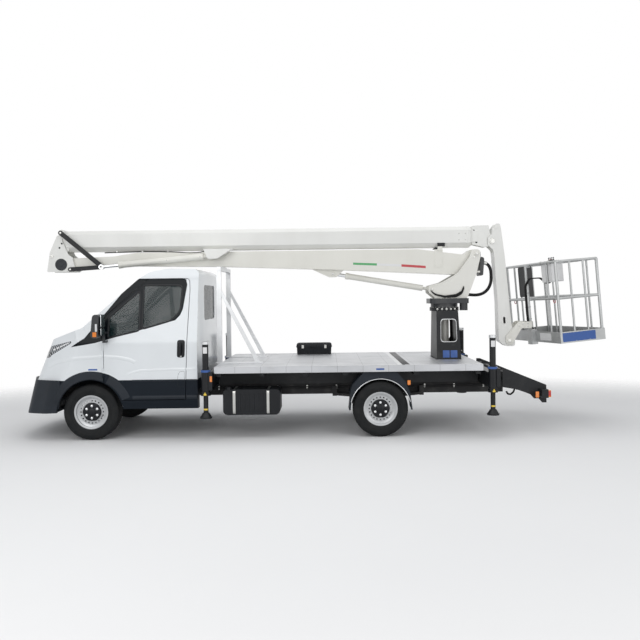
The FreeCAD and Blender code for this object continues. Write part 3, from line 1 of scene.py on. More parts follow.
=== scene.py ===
"""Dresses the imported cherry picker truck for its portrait.

Lengths are metres in the row frame: the truck faces -X, its driver's side is -Y and +Z is up. Outlines are drawn in
millimetres from the front axle, and row() and plan() carry them over. Every new piece is a surface worked out on a
grid with numpy, and rides on the body that carries it.
"""

from __future__ import annotations

import fnmatch
import itertools
import json
import logging
import math
from dataclasses import dataclass
from enum import Enum
from typing import Sequence

import bmesh
import bpy
import numpy as np
from mathutils import Matrix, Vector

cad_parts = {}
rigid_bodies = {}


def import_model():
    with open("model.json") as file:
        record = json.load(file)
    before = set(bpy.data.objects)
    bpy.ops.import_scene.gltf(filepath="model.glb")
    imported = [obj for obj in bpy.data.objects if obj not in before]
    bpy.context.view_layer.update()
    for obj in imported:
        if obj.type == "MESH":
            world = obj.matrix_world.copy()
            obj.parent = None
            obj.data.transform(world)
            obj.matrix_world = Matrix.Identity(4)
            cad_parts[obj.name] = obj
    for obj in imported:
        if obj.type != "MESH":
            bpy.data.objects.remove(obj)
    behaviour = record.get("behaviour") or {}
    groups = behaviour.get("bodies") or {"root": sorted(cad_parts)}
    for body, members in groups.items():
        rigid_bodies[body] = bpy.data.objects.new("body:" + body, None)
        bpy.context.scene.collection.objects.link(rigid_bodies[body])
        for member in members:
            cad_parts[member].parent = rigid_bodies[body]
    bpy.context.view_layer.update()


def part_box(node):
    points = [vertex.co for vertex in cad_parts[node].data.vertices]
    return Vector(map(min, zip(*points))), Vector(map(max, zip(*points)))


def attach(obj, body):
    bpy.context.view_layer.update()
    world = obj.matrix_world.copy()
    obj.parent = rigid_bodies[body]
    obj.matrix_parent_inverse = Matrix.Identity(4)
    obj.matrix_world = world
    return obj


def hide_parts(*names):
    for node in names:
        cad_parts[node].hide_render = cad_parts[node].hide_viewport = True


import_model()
LOG = logging.getLogger("cherry_picker")

AXLE, RIDE = 2.878, 0.05
ORIGIN = np.array([-AXLE, 0.0, RIDE])
TURN = 2 * math.pi
UP, NEAR = (0, 0, 1), (0, -1, 0)
Triple = Colour = tuple[float, float, float]
Pair = tuple[float, float]
Numbers = float | np.ndarray
Spot = Sequence[float]
Line = tuple[Pair, ...]
Table = tuple[tuple, ...]
Places = Sequence[Spot]


class Side(Enum):
    """The two sides of the truck, as the sign of y."""

    LEFT = -1
    RIGHT = 1

    @property
    def word(self) -> str:
        """The side's name in node and body names."""
        return self.name.lower()

    @property
    def door(self) -> str:
        """The body of this side's door."""
        return f"door_{self.word}"

    @property
    def out(self) -> Triple:
        """The way out of the truck on this side."""
        return (0, self.value, 0)


def row(x: Numbers, y: Numbers, z: Numbers) -> np.ndarray:
    """Places given in millimetres behind, beside and above the front axle's datum, in the row frame."""
    return np.stack(np.broadcast_arrays(x, y, z), -1) / 1000 + ORIGIN


def upright(spots: Places, y: float) -> np.ndarray:
    """(x, z) spots in millimetres, set in the upright plane at y."""
    x, z = np.transpose(spots)
    return row(x, y, z)


# shader maths


class Value:
    """A socket that Python arithmetic extends with Math nodes."""

    def __init__(self, shader: Shader, socket: bpy.types.NodeSocket) -> None:
        """Wraps an output socket of a shader's tree."""
        self.shader, self.socket = shader, socket

    def math(self, operation: str, *others: Value | float) -> Value:
        """One Math node with this value first."""
        return self.shader.node("ShaderNodeMath", {"operation": operation}, dict(enumerate((self, *others))))

    def __add__(self, other: Value | float) -> Value:
        """Sum."""
        return self.math("ADD", other)

    def __mul__(self, other: Value | float) -> Value:
        """Product."""
        return self.math("MULTIPLY", other)

    __radd__, __rmul__ = __add__, __mul__

    def __sub__(self, other: Value | float) -> Value:
        """Difference."""
        return self.math("SUBTRACT", other)

    def __rsub__(self, other: float) -> Value:
        """Difference the other way round."""
        return self.shader.node("ShaderNodeMath", {"operation": "SUBTRACT"}, {0: other, 1: self})

    def __abs__(self) -> Value:
        """Size without sign."""
        return self.math("ABSOLUTE")

    def larger(self, other: Value | float) -> Value:
        """The larger of two values."""
        return self.math("MAXIMUM", other)

    def smaller(self, other: Value | float) -> Value:
        """The smaller of two values."""
        return self.math("MINIMUM", other)

    def wave(self, pitch: float) -> Value:
        """A sine with the given pitch."""
        return (self * (TURN / pitch)).math("SINE")

    def step(self, low: float, high: float) -> Value:
        """Rises smoothly from 0 at low to 1 at high."""
        inputs = {"Value": self, "From Min": low, "From Max": high}
        return self.shader.node("ShaderNodeMapRange", {"interpolation_type": "SMOOTHSTEP"}, inputs)

    def between(self, low: float, high: float, edge: float) -> Value:
        """1 between low and high, with soft edges outside them."""
        return self.step(low - edge, low) * (1.0 - self.step(high, high + edge))


class Shader:
    """A tree of shader nodes, every one of them made by the same method."""

    def __init__(self, owner: bpy.types.Material | bpy.types.World, output: str = "ShaderNodeOutputMaterial") -> None:
        """Empties the tree of a material or world and gives it an output of the given type."""
        owner.use_nodes = True
        self.owner, self.tree = owner, owner.node_tree
        self.tree.nodes.clear()
        self.output = self.tree.nodes.new(output)
        self.place = self.node("ShaderNodeTexCoord", {}, {}, "Object")

    def node(self, kind: str, settings: dict, inputs: dict, output: int | str = 0) -> Value:
        """Adds a node.

        Args:
            kind: the node's type.
            settings: its properties, set before the sockets.
            inputs: socket index or name to a number, colour or value.
            output: the output to hand back.

        Returns:
            That output.
        """
        made = self.tree.nodes.new(kind)
        for key, setting in settings.items():
            setattr(made, key, setting)
        for key, given in inputs.items():
            socket = made.inputs[key]
            if isinstance(given, Value):
                self.tree.links.new(given.socket, socket)
            else:
                socket.default_value = (*given, 1.0) if socket.type == "RGBA" else given
        return Value(self, made.outputs[output])

    def axis(self, name: str) -> Value:
        """One Object coordinate, "X", "Y" or "Z"."""
        return self.node("ShaderNodeSeparateXYZ", {}, {0: self.place}, name)

    def noise(self, scale: float, detail: float = 3.0, stretch: Triple | None = None) -> Value:
        """Cloudy noise round 0.5.

        Args:
            scale: how fine it is, per metre.
            detail: octaves.
            stretch: scales of the three axes, for grain that runs one way.

        Returns:
            The noise.
        """
        place = self.place
        if stretch:
            place = self.node("ShaderNodeVectorMath", {"operation": "MULTIPLY"}, {0: place, 1: stretch})
        return self.node("ShaderNodeTexNoise", {}, {"Vector": place, "Scale": scale, "Detail": detail}, "Fac")

    def cells(self, scale: float) -> Value:
        """Cell noise, as the distance to the nearest cell's middle."""
        return self.node("ShaderNodeTexVoronoi", {"feature": "F1"}, {"Vector": self.place, "Scale": scale}, "Distance")

    def blend(self, share: Value | float, one: Value | Colour, two: Value | Colour) -> Value:
        """Mixes a share of the second colour into the first."""
        return self.node("ShaderNodeMix", {"data_type": "RGBA"}, {0: share, 6: one, 7: two}, 2)

    def bump(self, height: Value, depth: float, strength: float = 1.0, **under: Value) -> Value:
        """A normal bumped by a height map that spans a depth in metres, over another given as Normal."""
        return self.node("ShaderNodeBump", {}, {"Height": height, "Distance": depth, "Strength": strength, **under})

    def end(self, surface: Value) -> None:
        """Links the finished shader to the output."""
        self.tree.links.new(surface.socket, self.output.inputs[0])

    def surface(self, **inputs: object) -> None:
        """Ends the tree with one Principled shader, whose sockets are given with spaces as underscores."""
        self.end(self.node("ShaderNodeBsdfPrincipled", {}, {key.replace("_", " "): x for key, x in inputs.items()}))


# finishes


def scaled(colour: Colour, by: float, plus: float = 0.0) -> Colour:
    """A colour times a factor, plus a little grey."""
    return tuple(min(c * by + plus, 1) for c in colour)


@dataclass(frozen=True)
class Finish:
    """A finish that knows its own look, and the record's slot that its pieces mostly keep, though done() ignores it."""

    name: str
    colour: Colour
    slot: str

    def look(self, s: Shader) -> dict:
        """The Principled shader's sockets. Each kind of finish has its own."""
        raise NotImplementedError

    def material(self) -> bpy.types.Material:
        """The material, made once."""
        found = bpy.data.materials.get(self.name)
        if found is None:
            found = bpy.data.materials.new(self.name)
            shader = Shader(found)
            shader.surface(**self.look(shader))
        return found


@dataclass(frozen=True)
class Paint(Finish):
    """Gloss paint over sheet or welded steel, with faint orange peel, dust low down and grime in clouds."""

    gloss: float = 0.28
    peel: float = 0.00025
    dust: float = 0.10
    dust_top: float = 0.9
    dirt: Colour = (0.42, 0.40, 0.36)

    def grimy(self, s: Shader) -> tuple[Value, Value, Value]:
        """The drifting colour under dust that grows towards the road, the dust's share, and the clouds."""
        cloud, streak = s.noise(1.7, 4.0), s.noise(3.0, 4.0, (2.0, 2.0, 0.3))
        tone = s.blend(cloud.step(0.35, 0.7), self.colour, scaled(self.colour, 0.955))
        low = 1.0 - s.axis("Z").step(0.2, self.dust_top)
        share = (low * 0.8 + 0.2) * streak.step(0.42, 0.85) * self.dust
        return s.blend(share, tone, self.dirt), share, cloud

    def look(self, s: Shader) -> dict:
        """Colour drifts by a few percent, and fine peel bends the highlights."""
        tone, share, cloud = self.grimy(s)
        rough = share * 1.2 + cloud * 0.08 + (self.gloss - 0.03)
        peel = s.bump(s.noise(420.0, 2.0), self.peel, 0.25)
        return dict(Base_Color=tone, Roughness=rough, Normal=peel, Coat_Weight=0.35, Coat_Roughness=0.12)


@dataclass(frozen=True)
class CabPaint(Paint):
    """The cab's coat: white, dark grained cladding low down and round the arch, and gloss black round the windows."""

    cladding: Colour = (0.009, 0.013, 0.019)
    black: Colour = (0.003, 0.005, 0.007)
    split: float = 0.734 + RIDE
    arch: Triple = (0.040 - AXLE, 0.300 + RIDE, 0.550)
    surround: Line = (
        (-260, 1124), (81, 1217), (608, 1302), (902, 1372), (1067, 1451), (1174, 1564), (1208, 1645), (1256, 1960),
        (1240, 2030), (1190, 2047), (-900, 2047),
    )
    bonnet_edge: Line = ((-267, 1148), (-55, 1283), (66, 1435))
    edge: float = 0.0008

    def beyond(self, x: Value, z: Value, line: Line) -> list[Value]:
        """For each run of a line of places, 1 on the left of it and 0 on its right."""
        spots = upright(line, 0)
        masks = []
        for one, two in zip(spots, spots[1:]):
            run = (two - one) / np.linalg.norm(two - one)
            gap = (x - float(one[0])) * float(-run[2]) + (z - float(one[2])) * float(run[0])
            masks.append(gap.step(-self.edge, self.edge))
        return masks

    def inside(self, s: Shader) -> Value:
        """1 within the window surround and behind the bonnet's edge, 0 elsewhere."""
        x, z = s.axis("X"), s.axis("Z")
        found, *others = self.beyond(x, z, self.surround)
        for mask in others:
            found = found.smaller(mask)
        lower, upper = self.beyond(x, z, self.bonnet_edge)
        return found * (1.0 - lower * upper)

    def look(self, s: Shader) -> dict:
        """White paint, with the two dark regions laid over it by place, each with its own gloss and grain."""
        tone, share, cloud = self.grimy(s)
        window = self.inside(s)
        tone = s.blend(window, tone, self.black)
        x, z, reach = s.axis("X"), s.axis("Z"), self.arch[2]
        across, up = x - self.arch[0], z - self.arch[1]
        near = (across * across + up * up).math("SQRT")
        low = (1.0 - z.step(self.split - 0.001, self.split)).larger(1.0 - near.step(reach - 0.001, reach))
        pale = s.blend(cloud.step(0.4, 0.75) * 0.5, self.cladding, scaled(self.cladding, 1.7, 0.004))
        rough = (share * 1.2 + cloud * 0.06 + (self.gloss - 0.03)) * (1.0 - low) + low * 0.5
        peel = s.bump(s.noise(420.0, 2.0), self.peel, 0.2)
        grain = s.bump(s.cells(900.0) * low, 0.0004, 0.35, Normal=peel)
        return dict(
            Base_Color=s.blend(low, tone, pale), Specular_IOR_Level=0.12, Roughness=rough, Normal=grain,
            Coat_Weight=(1.0 - low.larger(window)) * 0.5, Coat_Roughness=0.1,
        )


@dataclass(frozen=True)
class Satin(Finish):
    """Satin black or grey paint on steel, with brushed dust and small scratches."""

    rough: float = 0.46
    dust: float = 0.16

    def look(self, s: Shader) -> dict:
        """A dark coat with pale dust in clouds, small scratches and an uneven thickness."""
        cloud = s.noise(5.0, 5.0)
        tone = s.blend(cloud.step(0.45, 0.8) * self.dust, self.colour, (0.30, 0.29, 0.27))
        scratch = s.noise(60.0, 3.0, (0.15, 1.0, 1.0))
        tone = s.blend(scratch.step(0.66, 0.74) * 0.25, tone, scaled(self.colour, 3, 0.05))
        skin = s.bump(s.noise(240.0, 3.0), 0.0006, 0.3)
        return dict(Base_Color=tone, Roughness=cloud * 0.18 + (self.rough - 0.09), Normal=skin, Specular_IOR_Level=0.35)


@dataclass(frozen=True)
class Moulding(Finish):
    """Grained plastic with a leathery pebble."""

    rough: float = 0.55
    pebble: float = 900.0
    depth: float = 0.0004

    def look(self, s: Shader) -> dict:
        """Pebbles from cell noise, and paler where the sun and dust have been."""
        cloud = s.noise(3.2, 4.0)
        tone = s.blend(cloud.step(0.4, 0.75) * 0.55, self.colour, scaled(self.colour, 1.7, 0.004))
        grain = s.bump(s.cells(self.pebble), self.depth, 0.35)
        return dict(Base_Color=tone, Roughness=cloud * 0.16 + (self.rough - 0.08), Normal=grain, Specular_IOR_Level=0.3)


@dataclass(frozen=True)
class MirrorShell(Moulding):
    """Grained black with an amber repeater and a pale strip let into the outer edge."""

    amber: Colour = (0.80, 0.22, 0.02)
    pale: Colour = (0.70, 0.71, 0.72)
    middle: float = 0.177 - AXLE

    def look(self, s: Shader) -> dict:
        """Two patches by place on the outer face, over grained black."""
        x, z, outer = s.axis("X"), s.axis("Z"), abs(s.axis("Y")).step(1.272, 1.276)
        lamp = x.between(self.middle - 0.024, self.middle + 0.020, 0.003) * z.between(1.362, 1.418, 0.003) * outer
        strip = x.between(self.middle + 0.008, self.middle + 0.030, 0.003) * z.between(1.430, 1.520, 0.004) * outer
        cloud = s.noise(3.2, 4.0)
        tone = s.blend(cloud.step(0.4, 0.75) * 0.4, self.colour, scaled(self.colour, 1.7, 0.012))
        tone = s.blend(strip, s.blend(lamp, tone, self.amber), self.pale)
        grain = s.cells(self.pebble) * (1.0 - lamp) + x.wave(0.006) * lamp
        return dict(Base_Color=tone, Roughness=cloud * 0.12 + 0.3, Normal=s.bump(grain, self.depth, 0.35))


@dataclass(frozen=True)
class Rubber(Finish):
    """Tyre and hose rubber, greyer on the flanks, with road dust."""

    dust: float = 0.35

    def look(self, s: Shader) -> dict:
        """Soft grey bloom in clouds over black, with a fine skin."""
        cloud = s.noise(9.0, 5.0)
        tone = s.blend(cloud.step(0.35, 0.8) * self.dust, self.colour, (0.12, 0.115, 0.105))
        skin = s.bump(s.noise(700.0, 2.0), 0.0004, 0.4)
        return dict(Base_Color=tone, Roughness=cloud * 0.2 + 0.62, Normal=skin, Specular_IOR_Level=0.3)


@dataclass(frozen=True)
class BareMetal(Finish):
    """Bare or plated metal with brushing along one axis."""

    rough: float = 0.3
    stain: float = 0.25
    metal: float = 1.0
    brush: Triple = (0.05, 1.0, 1.0)

    def look(self, s: Shader) -> dict:
        """Fine lines along the brushing, and duller clouds where it has weathered."""
        lines, cloud = s.noise(160.0, 3.0, self.brush), s.noise(4.0, 5.0)
        dull = scaled(self.colour, 0.72)
        tone = s.blend(cloud.step(0.4, 0.8) * self.stain, self.colour, dull)
        tone = s.blend(lines.step(0.4, 0.8) * 0.2, tone, dull)
        rough = (cloud * 0.2 + lines * 0.12 + (self.rough - 0.15)).larger(0.05)
        return dict(Base_Color=tone, Roughness=rough, Metallic=self.metal, Normal=s.bump(lines, 0.0003, 0.25))


@dataclass(frozen=True)
class DeckPlate(Finish):
    """Aluminium deck with a fine five-bar tread, joints between planks and worn walkways."""

    top: float = 0.939

    def look(self, s: Shader) -> dict:
        """Plank joints every 0.33 m, raised bars at two angles on the top, and dark scuffs in clouds."""
        x, y = s.axis("X"), s.axis("Y")
        bars = ((x + y).wave(0.045) * (x - y).wave(0.012)).step(0.45, 0.8)
        joint = abs(x.wave(0.66)).step(0.0, 0.03)
        cloud, scuff = s.noise(2.3, 6.0), s.noise(14.0, 4.0, (0.3, 1.0, 1.0))
        tone = s.blend(cloud.step(0.35, 0.75) * 0.5, self.colour, (0.42, 0.43, 0.44))
        tone = s.blend(scuff.step(0.55, 0.8) * 0.3, tone, (0.25, 0.25, 0.25))
        tone = s.blend((1.0 - joint) * 0.7, tone, (0.08, 0.08, 0.08))
        height = (bars * 0.6 + joint) * s.axis("Z").step(self.top - 0.003, self.top)
        return dict(Base_Color=tone, Roughness=cloud * 0.22 + 0.3, Metallic=0.75, Normal=s.bump(height, 0.0012, 0.5))


@dataclass(frozen=True)
class Glazing(Finish):
    """Tinted glass with a trace of dust."""

    tint: float = 0.30

    def look(self, s: Shader) -> dict:
        """Mostly clear, a little green, with dust that shows as a paler film."""
        film = s.noise(6.0, 5.0).step(0.5, 0.9)
        tone = s.blend(film * 0.2, self.colour, (0.5, 0.52, 0.5))
        trace = film * 0.06
        return dict(Base_Color=tone, Roughness=trace + 0.03, Alpha=trace + self.tint, Specular_IOR_Level=0.35)


@dataclass(frozen=True)
class Lens(Finish):
    """Moulded lamp lens with fine ribs and a glow of its own colour inside."""

    ribs: float = 0.006
    glow: float = 0.0

    def look(self, s: Shader) -> dict:
        """Ribs along x and z over a clear coat."""
        ribs = s.axis("X").wave(self.ribs) * 0.5 + s.axis("Z").wave(self.ribs) * 0.5
        cloud = s.noise(30.0, 2.0)
        tone = s.blend(cloud.step(0.3, 0.8) * 0.4, self.colour, scaled(self.colour, 0.6))
        return dict(
            Base_Color=tone, Roughness=cloud * 0.05 + 0.1, Normal=s.bump(ribs, 0.0008, 0.6), Coat_Weight=1.0,
            Emission_Color=tone, Emission_Strength=self.glow,
        )


@dataclass(frozen=True)
class LampFace(Finish):
    """Head and tail lamps: a dark bowl with a bright ring and facets in front, red over amber at the rear."""

    bowl: Pair = (-0.620 - AXLE, 1.065 + RIDE)
    rear: float = 2.0

    def look(self, s: Shader) -> dict:
        """Rings by distance from the bowl's middle, facets behind it, and bands of height on the tail lamps."""
        x, z = s.axis("X"), s.axis("Z")
        across, up = x - self.bowl[0], z - self.bowl[1]
        reach = (across * across + up * up).math("SQRT")
        facets = (x + z * 0.6).wave(0.034).step(-0.2, 0.6)
        behind = x.step(self.bowl[0] + 0.05, self.bowl[0] + 0.07)
        tone = s.blend(facets * behind * 0.8, self.colour, (0.52, 0.55, 0.58))
        tone = s.blend(reach.between(0.028, 0.043, 0.002), tone, (0.72, 0.74, 0.76))
        tone = s.blend(1.0 - reach.step(0.016, 0.020), tone, (0.20, 0.24, 0.28))
        lamp = s.blend(up.wave(0.11).step(0.1, 0.2), (0.55, 0.02, 0.02), (0.80, 0.22, 0.02))
        tone = s.blend(x.step(self.rear, self.rear + 0.01), tone, lamp)
        ribs = s.bump(x.wave(0.012) + z.wave(0.012), 0.0004, 0.3)
        return dict(Base_Color=tone, Roughness=facets * 0.1 + 0.08, Normal=ribs, Coat_Weight=0.6, Coat_Roughness=0.04)


@dataclass(frozen=True)
class Cloth(Finish):
    """Woven seat cloth with a fine check."""

    thread: float = 0.003

    def look(self, s: Shader) -> dict:
        """Warp and weft from sines along the three axes, and wear in clouds."""
        one, two, three = (s.axis(name).wave(self.thread) for name in "XYZ")
        weave, cloud = one * two + three, s.noise(8.0, 4.0)
        tone = s.blend(weave.step(0.0, 1.0) * 0.4, self.colour, scaled(self.colour, 1.8))
        tone = s.blend(cloud.step(0.4, 0.8) * 0.3, tone, scaled(self.colour, 0.6))
        return dict(Base_Color=tone, Roughness=cloud * 0.1 + 0.8, Sheen_Weight=0.2, Normal=s.bump(weave, 0.0005, 0.4))


@dataclass(frozen=True)
class TwoTone(Finish):
    """Cream paint above black, split at a height and behind a place, for the turntable and its side plates."""

    upper: Colour = (0.80, 0.79, 0.74)
    split: float = 1.737 + RIDE
    black_behind: float = 5.2463 - AXLE

    def look(self, s: Shader) -> dict:
        """Black below the split and behind the place, cream elsewhere, each with its own gloss."""
        behind = s.axis("X").step(self.black_behind - 0.001, self.black_behind)
        pale = s.axis("Z").step(self.split - 0.001, self.split) * (1.0 - behind)
        cloud = s.noise(4.0, 4.0)
        patches = cloud.step(0.4, 0.8)
        dark = s.blend(patches * 0.15, self.colour, (0.3, 0.29, 0.27))
        light = s.blend(patches * 0.3, self.upper, scaled(self.upper, 0.9))
        skin = s.bump(s.noise(300.0, 2.0), 0.0004, 0.25)
        return dict(Base_Color=s.blend(pale, dark, light), Roughness=cloud * 0.12 + 0.32, Normal=skin)


WHITE = Paint("cab_white", (0.80, 0.83, 0.85), "white_paint", gloss=0.22)
CAB_COAT = CabPaint("cab_two_tone_coat", (0.80, 0.83, 0.85), "white_paint", gloss=0.22)
BOOM_WHITE = Paint("boom_off_white", (0.82, 0.82, 0.79), "white_paint", 0.34, dust=0.35, dust_top=3.2,
                   dirt=(0.62, 0.60, 0.54))
CREAM = Paint("boom_cream", (0.80, 0.79, 0.73), "cream_paint", 0.36, dust=0.4, dust_top=3.0, dirt=(0.60, 0.57, 0.50))
SIGN_BLUE = Paint("sign_blue", (0.02, 0.09, 0.34), "white_paint", gloss=0.4)
SIGN_WHITE = Paint("sign_white", (0.80, 0.80, 0.80), "white_paint", gloss=0.4)
SIGN_YELLOW = Paint("sign_yellow", (0.85, 0.60, 0.05), "white_paint", gloss=0.4)
STRIPE_GREEN = Paint("stripe_green", (0.10, 0.40, 0.16), "cream_paint", gloss=0.4)
STRIPE_RED = Paint("stripe_red", (0.55, 0.06, 0.07), "white_paint", gloss=0.4)
STEEL_BLACK = Satin("chassis_black", (0.006, 0.007, 0.009), "black_steel", dust=0.07)
GEAR_BLACK = Satin("running_gear_black", (0.009, 0.009, 0.010), "black_steel", rough=0.6)
JACK_BLACK = Satin("jack_black", (0.004, 0.005, 0.007), "black_steel", rough=0.34, dust=0.04)
CLADDING = Moulding("cladding_blue_grey", (0.009, 0.013, 0.019), "black_plastic")
TANK_PLASTIC = Moulding("tank_black", (0.005, 0.006, 0.008), "black_plastic", rough=0.5, pebble=500.0)
TRIM_BLACK = Moulding("trim_black", (0.004, 0.005, 0.007), "black_plastic", rough=0.38, pebble=1500.0, depth=0.0002)
CABIN_GREY = Moulding("cabin_grey", (0.035, 0.038, 0.042), "black_plastic", rough=0.6)
MIRROR_SHELL = MirrorShell("mirror_shell_black", (0.012, 0.014, 0.017), "black_plastic", pebble=1500.0)
TYRE = Rubber("tyre_rubber_black", (0.004, 0.005, 0.006), "tyre_rubber", dust=0.10)
HOSE = Rubber("hose_black", (0.005, 0.005, 0.006), "black_plastic", dust=0.08)
ALUMINIUM = BareMetal("frame_aluminium", (0.68, 0.69, 0.70), "aluminium_plate", rough=0.38, stain=0.35, metal=0.85)
BASKET_METAL = BareMetal("basket_grey_metal", (0.50, 0.51, 0.51), "basket_metal", rough=0.42, stain=0.5, metal=0.7)
RIM_SILVER = BareMetal("rim_silver", (0.50, 0.51, 0.52), "wheel_steel", rough=0.4, stain=0.3, metal=0.6)
CHROME = BareMetal("rod_chrome", (0.78, 0.79, 0.80), "chromed_rod", rough=0.18, stain=0.1)
ZINC = BareMetal("zinc_plate", (0.55, 0.55, 0.53), "chromed_rod", rough=0.35, stain=0.4)
MIRROR_GLASS = BareMetal("mirror_face", (0.75, 0.78, 0.80), "chromed_rod", rough=0.12, stain=0.02)
DECK = DeckPlate("deck_tread_plate", (0.56, 0.57, 0.59), "aluminium_plate")
GLASS = Glazing("cab_tinted_glass", (0.008, 0.024, 0.026), "tinted_glass", tint=0.56)
LAMPS = LampFace("lamp_faces", (0.012, 0.015, 0.018), "lamp_lens")
AMBER = Lens("lamp_amber", (0.85, 0.24, 0.02), "lamp_lens", glow=0.1)
SEAT = Cloth("seat_cloth", (0.10, 0.10, 0.105), "seat_cloth")
TURNTABLE = TwoTone("turntable_two_tone", (0.016, 0.018, 0.022), "cream_paint")

NODE_FINISHES: dict[Finish, str] = {
    GEAR_BLACK: "frame_rails axles engine_block knuckle_*",
    STEEL_BLACK: "tail_frame subframe pedestal elbow_link elbow_lever",
    JACK_BLACK: "jack_*",
    TANK_PLASTIC: "fuel_tank pad_case",
    CLADDING: "rear_mudguards front_bumper",
    TRIM_BLACK: "grille",
    MIRROR_SHELL: "mirror_*",
    CABIN_GREY: "dashboard",
    CAB_COAT: "cab_shell door_left door_right",
    WHITE: "bonnet",
    GLASS: "cab_glass door_glass_*",
    LAMPS: "lamps",
    SEAT: "seats",
    DECK: "deck",
    ALUMINIUM: "headboard",
    TURNTABLE: "turret",
    HOSE: "turret_hose",
    CREAM: "lower_boom basket_carrier lift_cylinder tilt_cylinder",
    BOOM_WHITE: "elbow_head upper_boom upper_mid upper_inner jib",
    CHROME: "lift_rod tilt_rod",
    BASKET_METAL: "basket_frame",
    SIGN_WHITE: "control_box",
    RIM_SILVER: "wheel_*",
    TYRE: "tyre_*",
}


def paint_nodes() -> None:
    """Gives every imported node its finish. It runs before any piece is added, so that a pattern finds nodes alone."""
    for finish, patterns in NODE_FINISHES.items():
        for pattern in patterns.split():
            for name in fnmatch.filter(bpy.data.objects.keys(), pattern):
                mesh = bpy.data.objects[name].data
                mesh.materials.clear()
                mesh.materials.append(finish.material())


# forms


def grid_faces(rows: int, columns: int, wrap_rows: bool, wrap_columns: bool, start: int = 0) -> np.ndarray:
    """Quads over a grid of points, as four indices a face.

    Args:
        rows: number of rows.
        columns: number of columns.
        wrap_rows: joins the last row to the first.
        wrap_columns: joins the last column to the first.
        start: index of the first point.

    Returns:
        The faces.
    """
    i, j = np.indices((rows - (not wrap_rows), columns - (not wrap_columns))).reshape(2, -1)
    k, m = (i + 1) % rows, (j + 1) % columns
    return start + np.stack([i * columns + j, k * columns + j, k * columns + m, i * columns + m], 1)


def rounded(outline: Places, steps: int = 6) -> np.ndarray:
    """A closed outline whose corners (u, v, radius) are rounded by quadratic bows.

    Args:
        outline: corners, each with an optional radius.
        steps: points on each rounded corner.

    Returns:
        The points, one a row.
    """
    points, t = [], np.linspace(0, 1, steps)[:, None]
    corners = [(*corner, 0.0)[:3] for corner in outline]
    for index, (u, v, radius) in enumerate(corners):
        here = np.array((u, v), float)
        if radius <= 0:
            points.append(here[None])
            continue
        back, ahead = (np.array(corners[k % len(corners)][:2]) - here for k in (index - 1, index + 1))
        lengths = np.linalg.norm(back), np.linalg.norm(ahead)
        cosine = np.clip(back @ ahead / (lengths[0] * lengths[1]), -0.9999, 0.9999)
        reach = min(radius / math.tan(math.acos(cosine) / 2), 0.48 * lengths[0], 0.48 * lengths[1])
        first, last = here + back / lengths[0] * reach, here + ahead / lengths[1] * reach
        points.append((1 - t) ** 2 * first + 2 * t * (1 - t) * here + t**2 * last)
    return np.concatenate(points)


def oblong(u: Pair, v: Pair, radius: float, steps: int = 5) -> np.ndarray:
    """A rectangle between two values of u and two of v, with rounded corners."""
    return rounded([(u[0], v[0], radius), (u[1], v[0], radius), (u[1], v[1], radius), (u[0], v[1], radius)], steps)


def plan(outline: np.ndarray) -> np.ndarray:
    """An (x, z) outline in millimetres, carried into the row frame."""
    return outline / 1000 + ORIGIN[[0, 2]]


def resample(path: np.ndarray, count: int, closed: bool = False) -> np.ndarray:
    """Points evenly spaced along a path.

    Args:
        path: the path's points.
        count: how many points to give.
        closed: whether it runs back to its start.

    Returns:
        The new points.
    """
    if closed:
        path = np.concatenate([path, path[:1]])
    run = np.concatenate([[0], np.cumsum(np.linalg.norm(np.diff(path, axis=0), axis=1))])
    at = np.linspace(0, run[-1], count, endpoint=not closed)
    return np.stack([np.interp(at, run, column) for column in path.T], 1)


def smooth_path(points: Places, count: int) -> np.ndarray:
    """A soft curve through points: straight runs, averaged along their length under a cosine bell.

    Args:
        points: places that the path goes near.
        count: how many points to give.

    Returns:
        The curve.
    """
    path = resample(np.array(points, float), count)
    width = max(3, count // (2 * len(points)) | 1)
    pad = width // 2
    framed = np.concatenate([2 * path[:1] - path[pad:0:-1], path, 2 * path[-1:] - path[-2 : -pad - 2 : -1]])
    kernel = np.hanning(width + 2)[1:-1]
    return np.stack([np.convolve(column, kernel / kernel.sum(), "valid") for column in framed.T], 1)


def track(spots: Places, y: float, count: int) -> np.ndarray:
    """A soft curve near (x, z) spots in the upright plane at y."""
    return smooth_path(upright(spots, y), count)


def unit(vector: Spot) -> np.ndarray:
    """A vector, or each of an array's rows, brought to length 1."""
    vector = np.asarray(vector, float)
    return vector / np.linalg.norm(vector, axis=-1, keepdims=True)


def circle(one: np.ndarray, two: np.ndarray, sides: int) -> np.ndarray:
    """Points round a unit circle spanned by two directions: cosine of one plus sine of two."""
    turn = np.linspace(0, TURN, sides, endpoint=False)[:, None]
    return np.cos(turn) * one + np.sin(turn) * two


def added(name: str, data: bpy.types.ID) -> bpy.types.Object:
    """A new object in the scene that shows a mesh, curve, lamp or camera."""
    item = bpy.data.objects.new(name, data)
    bpy.context.scene.collection.objects.link(item)
    return item


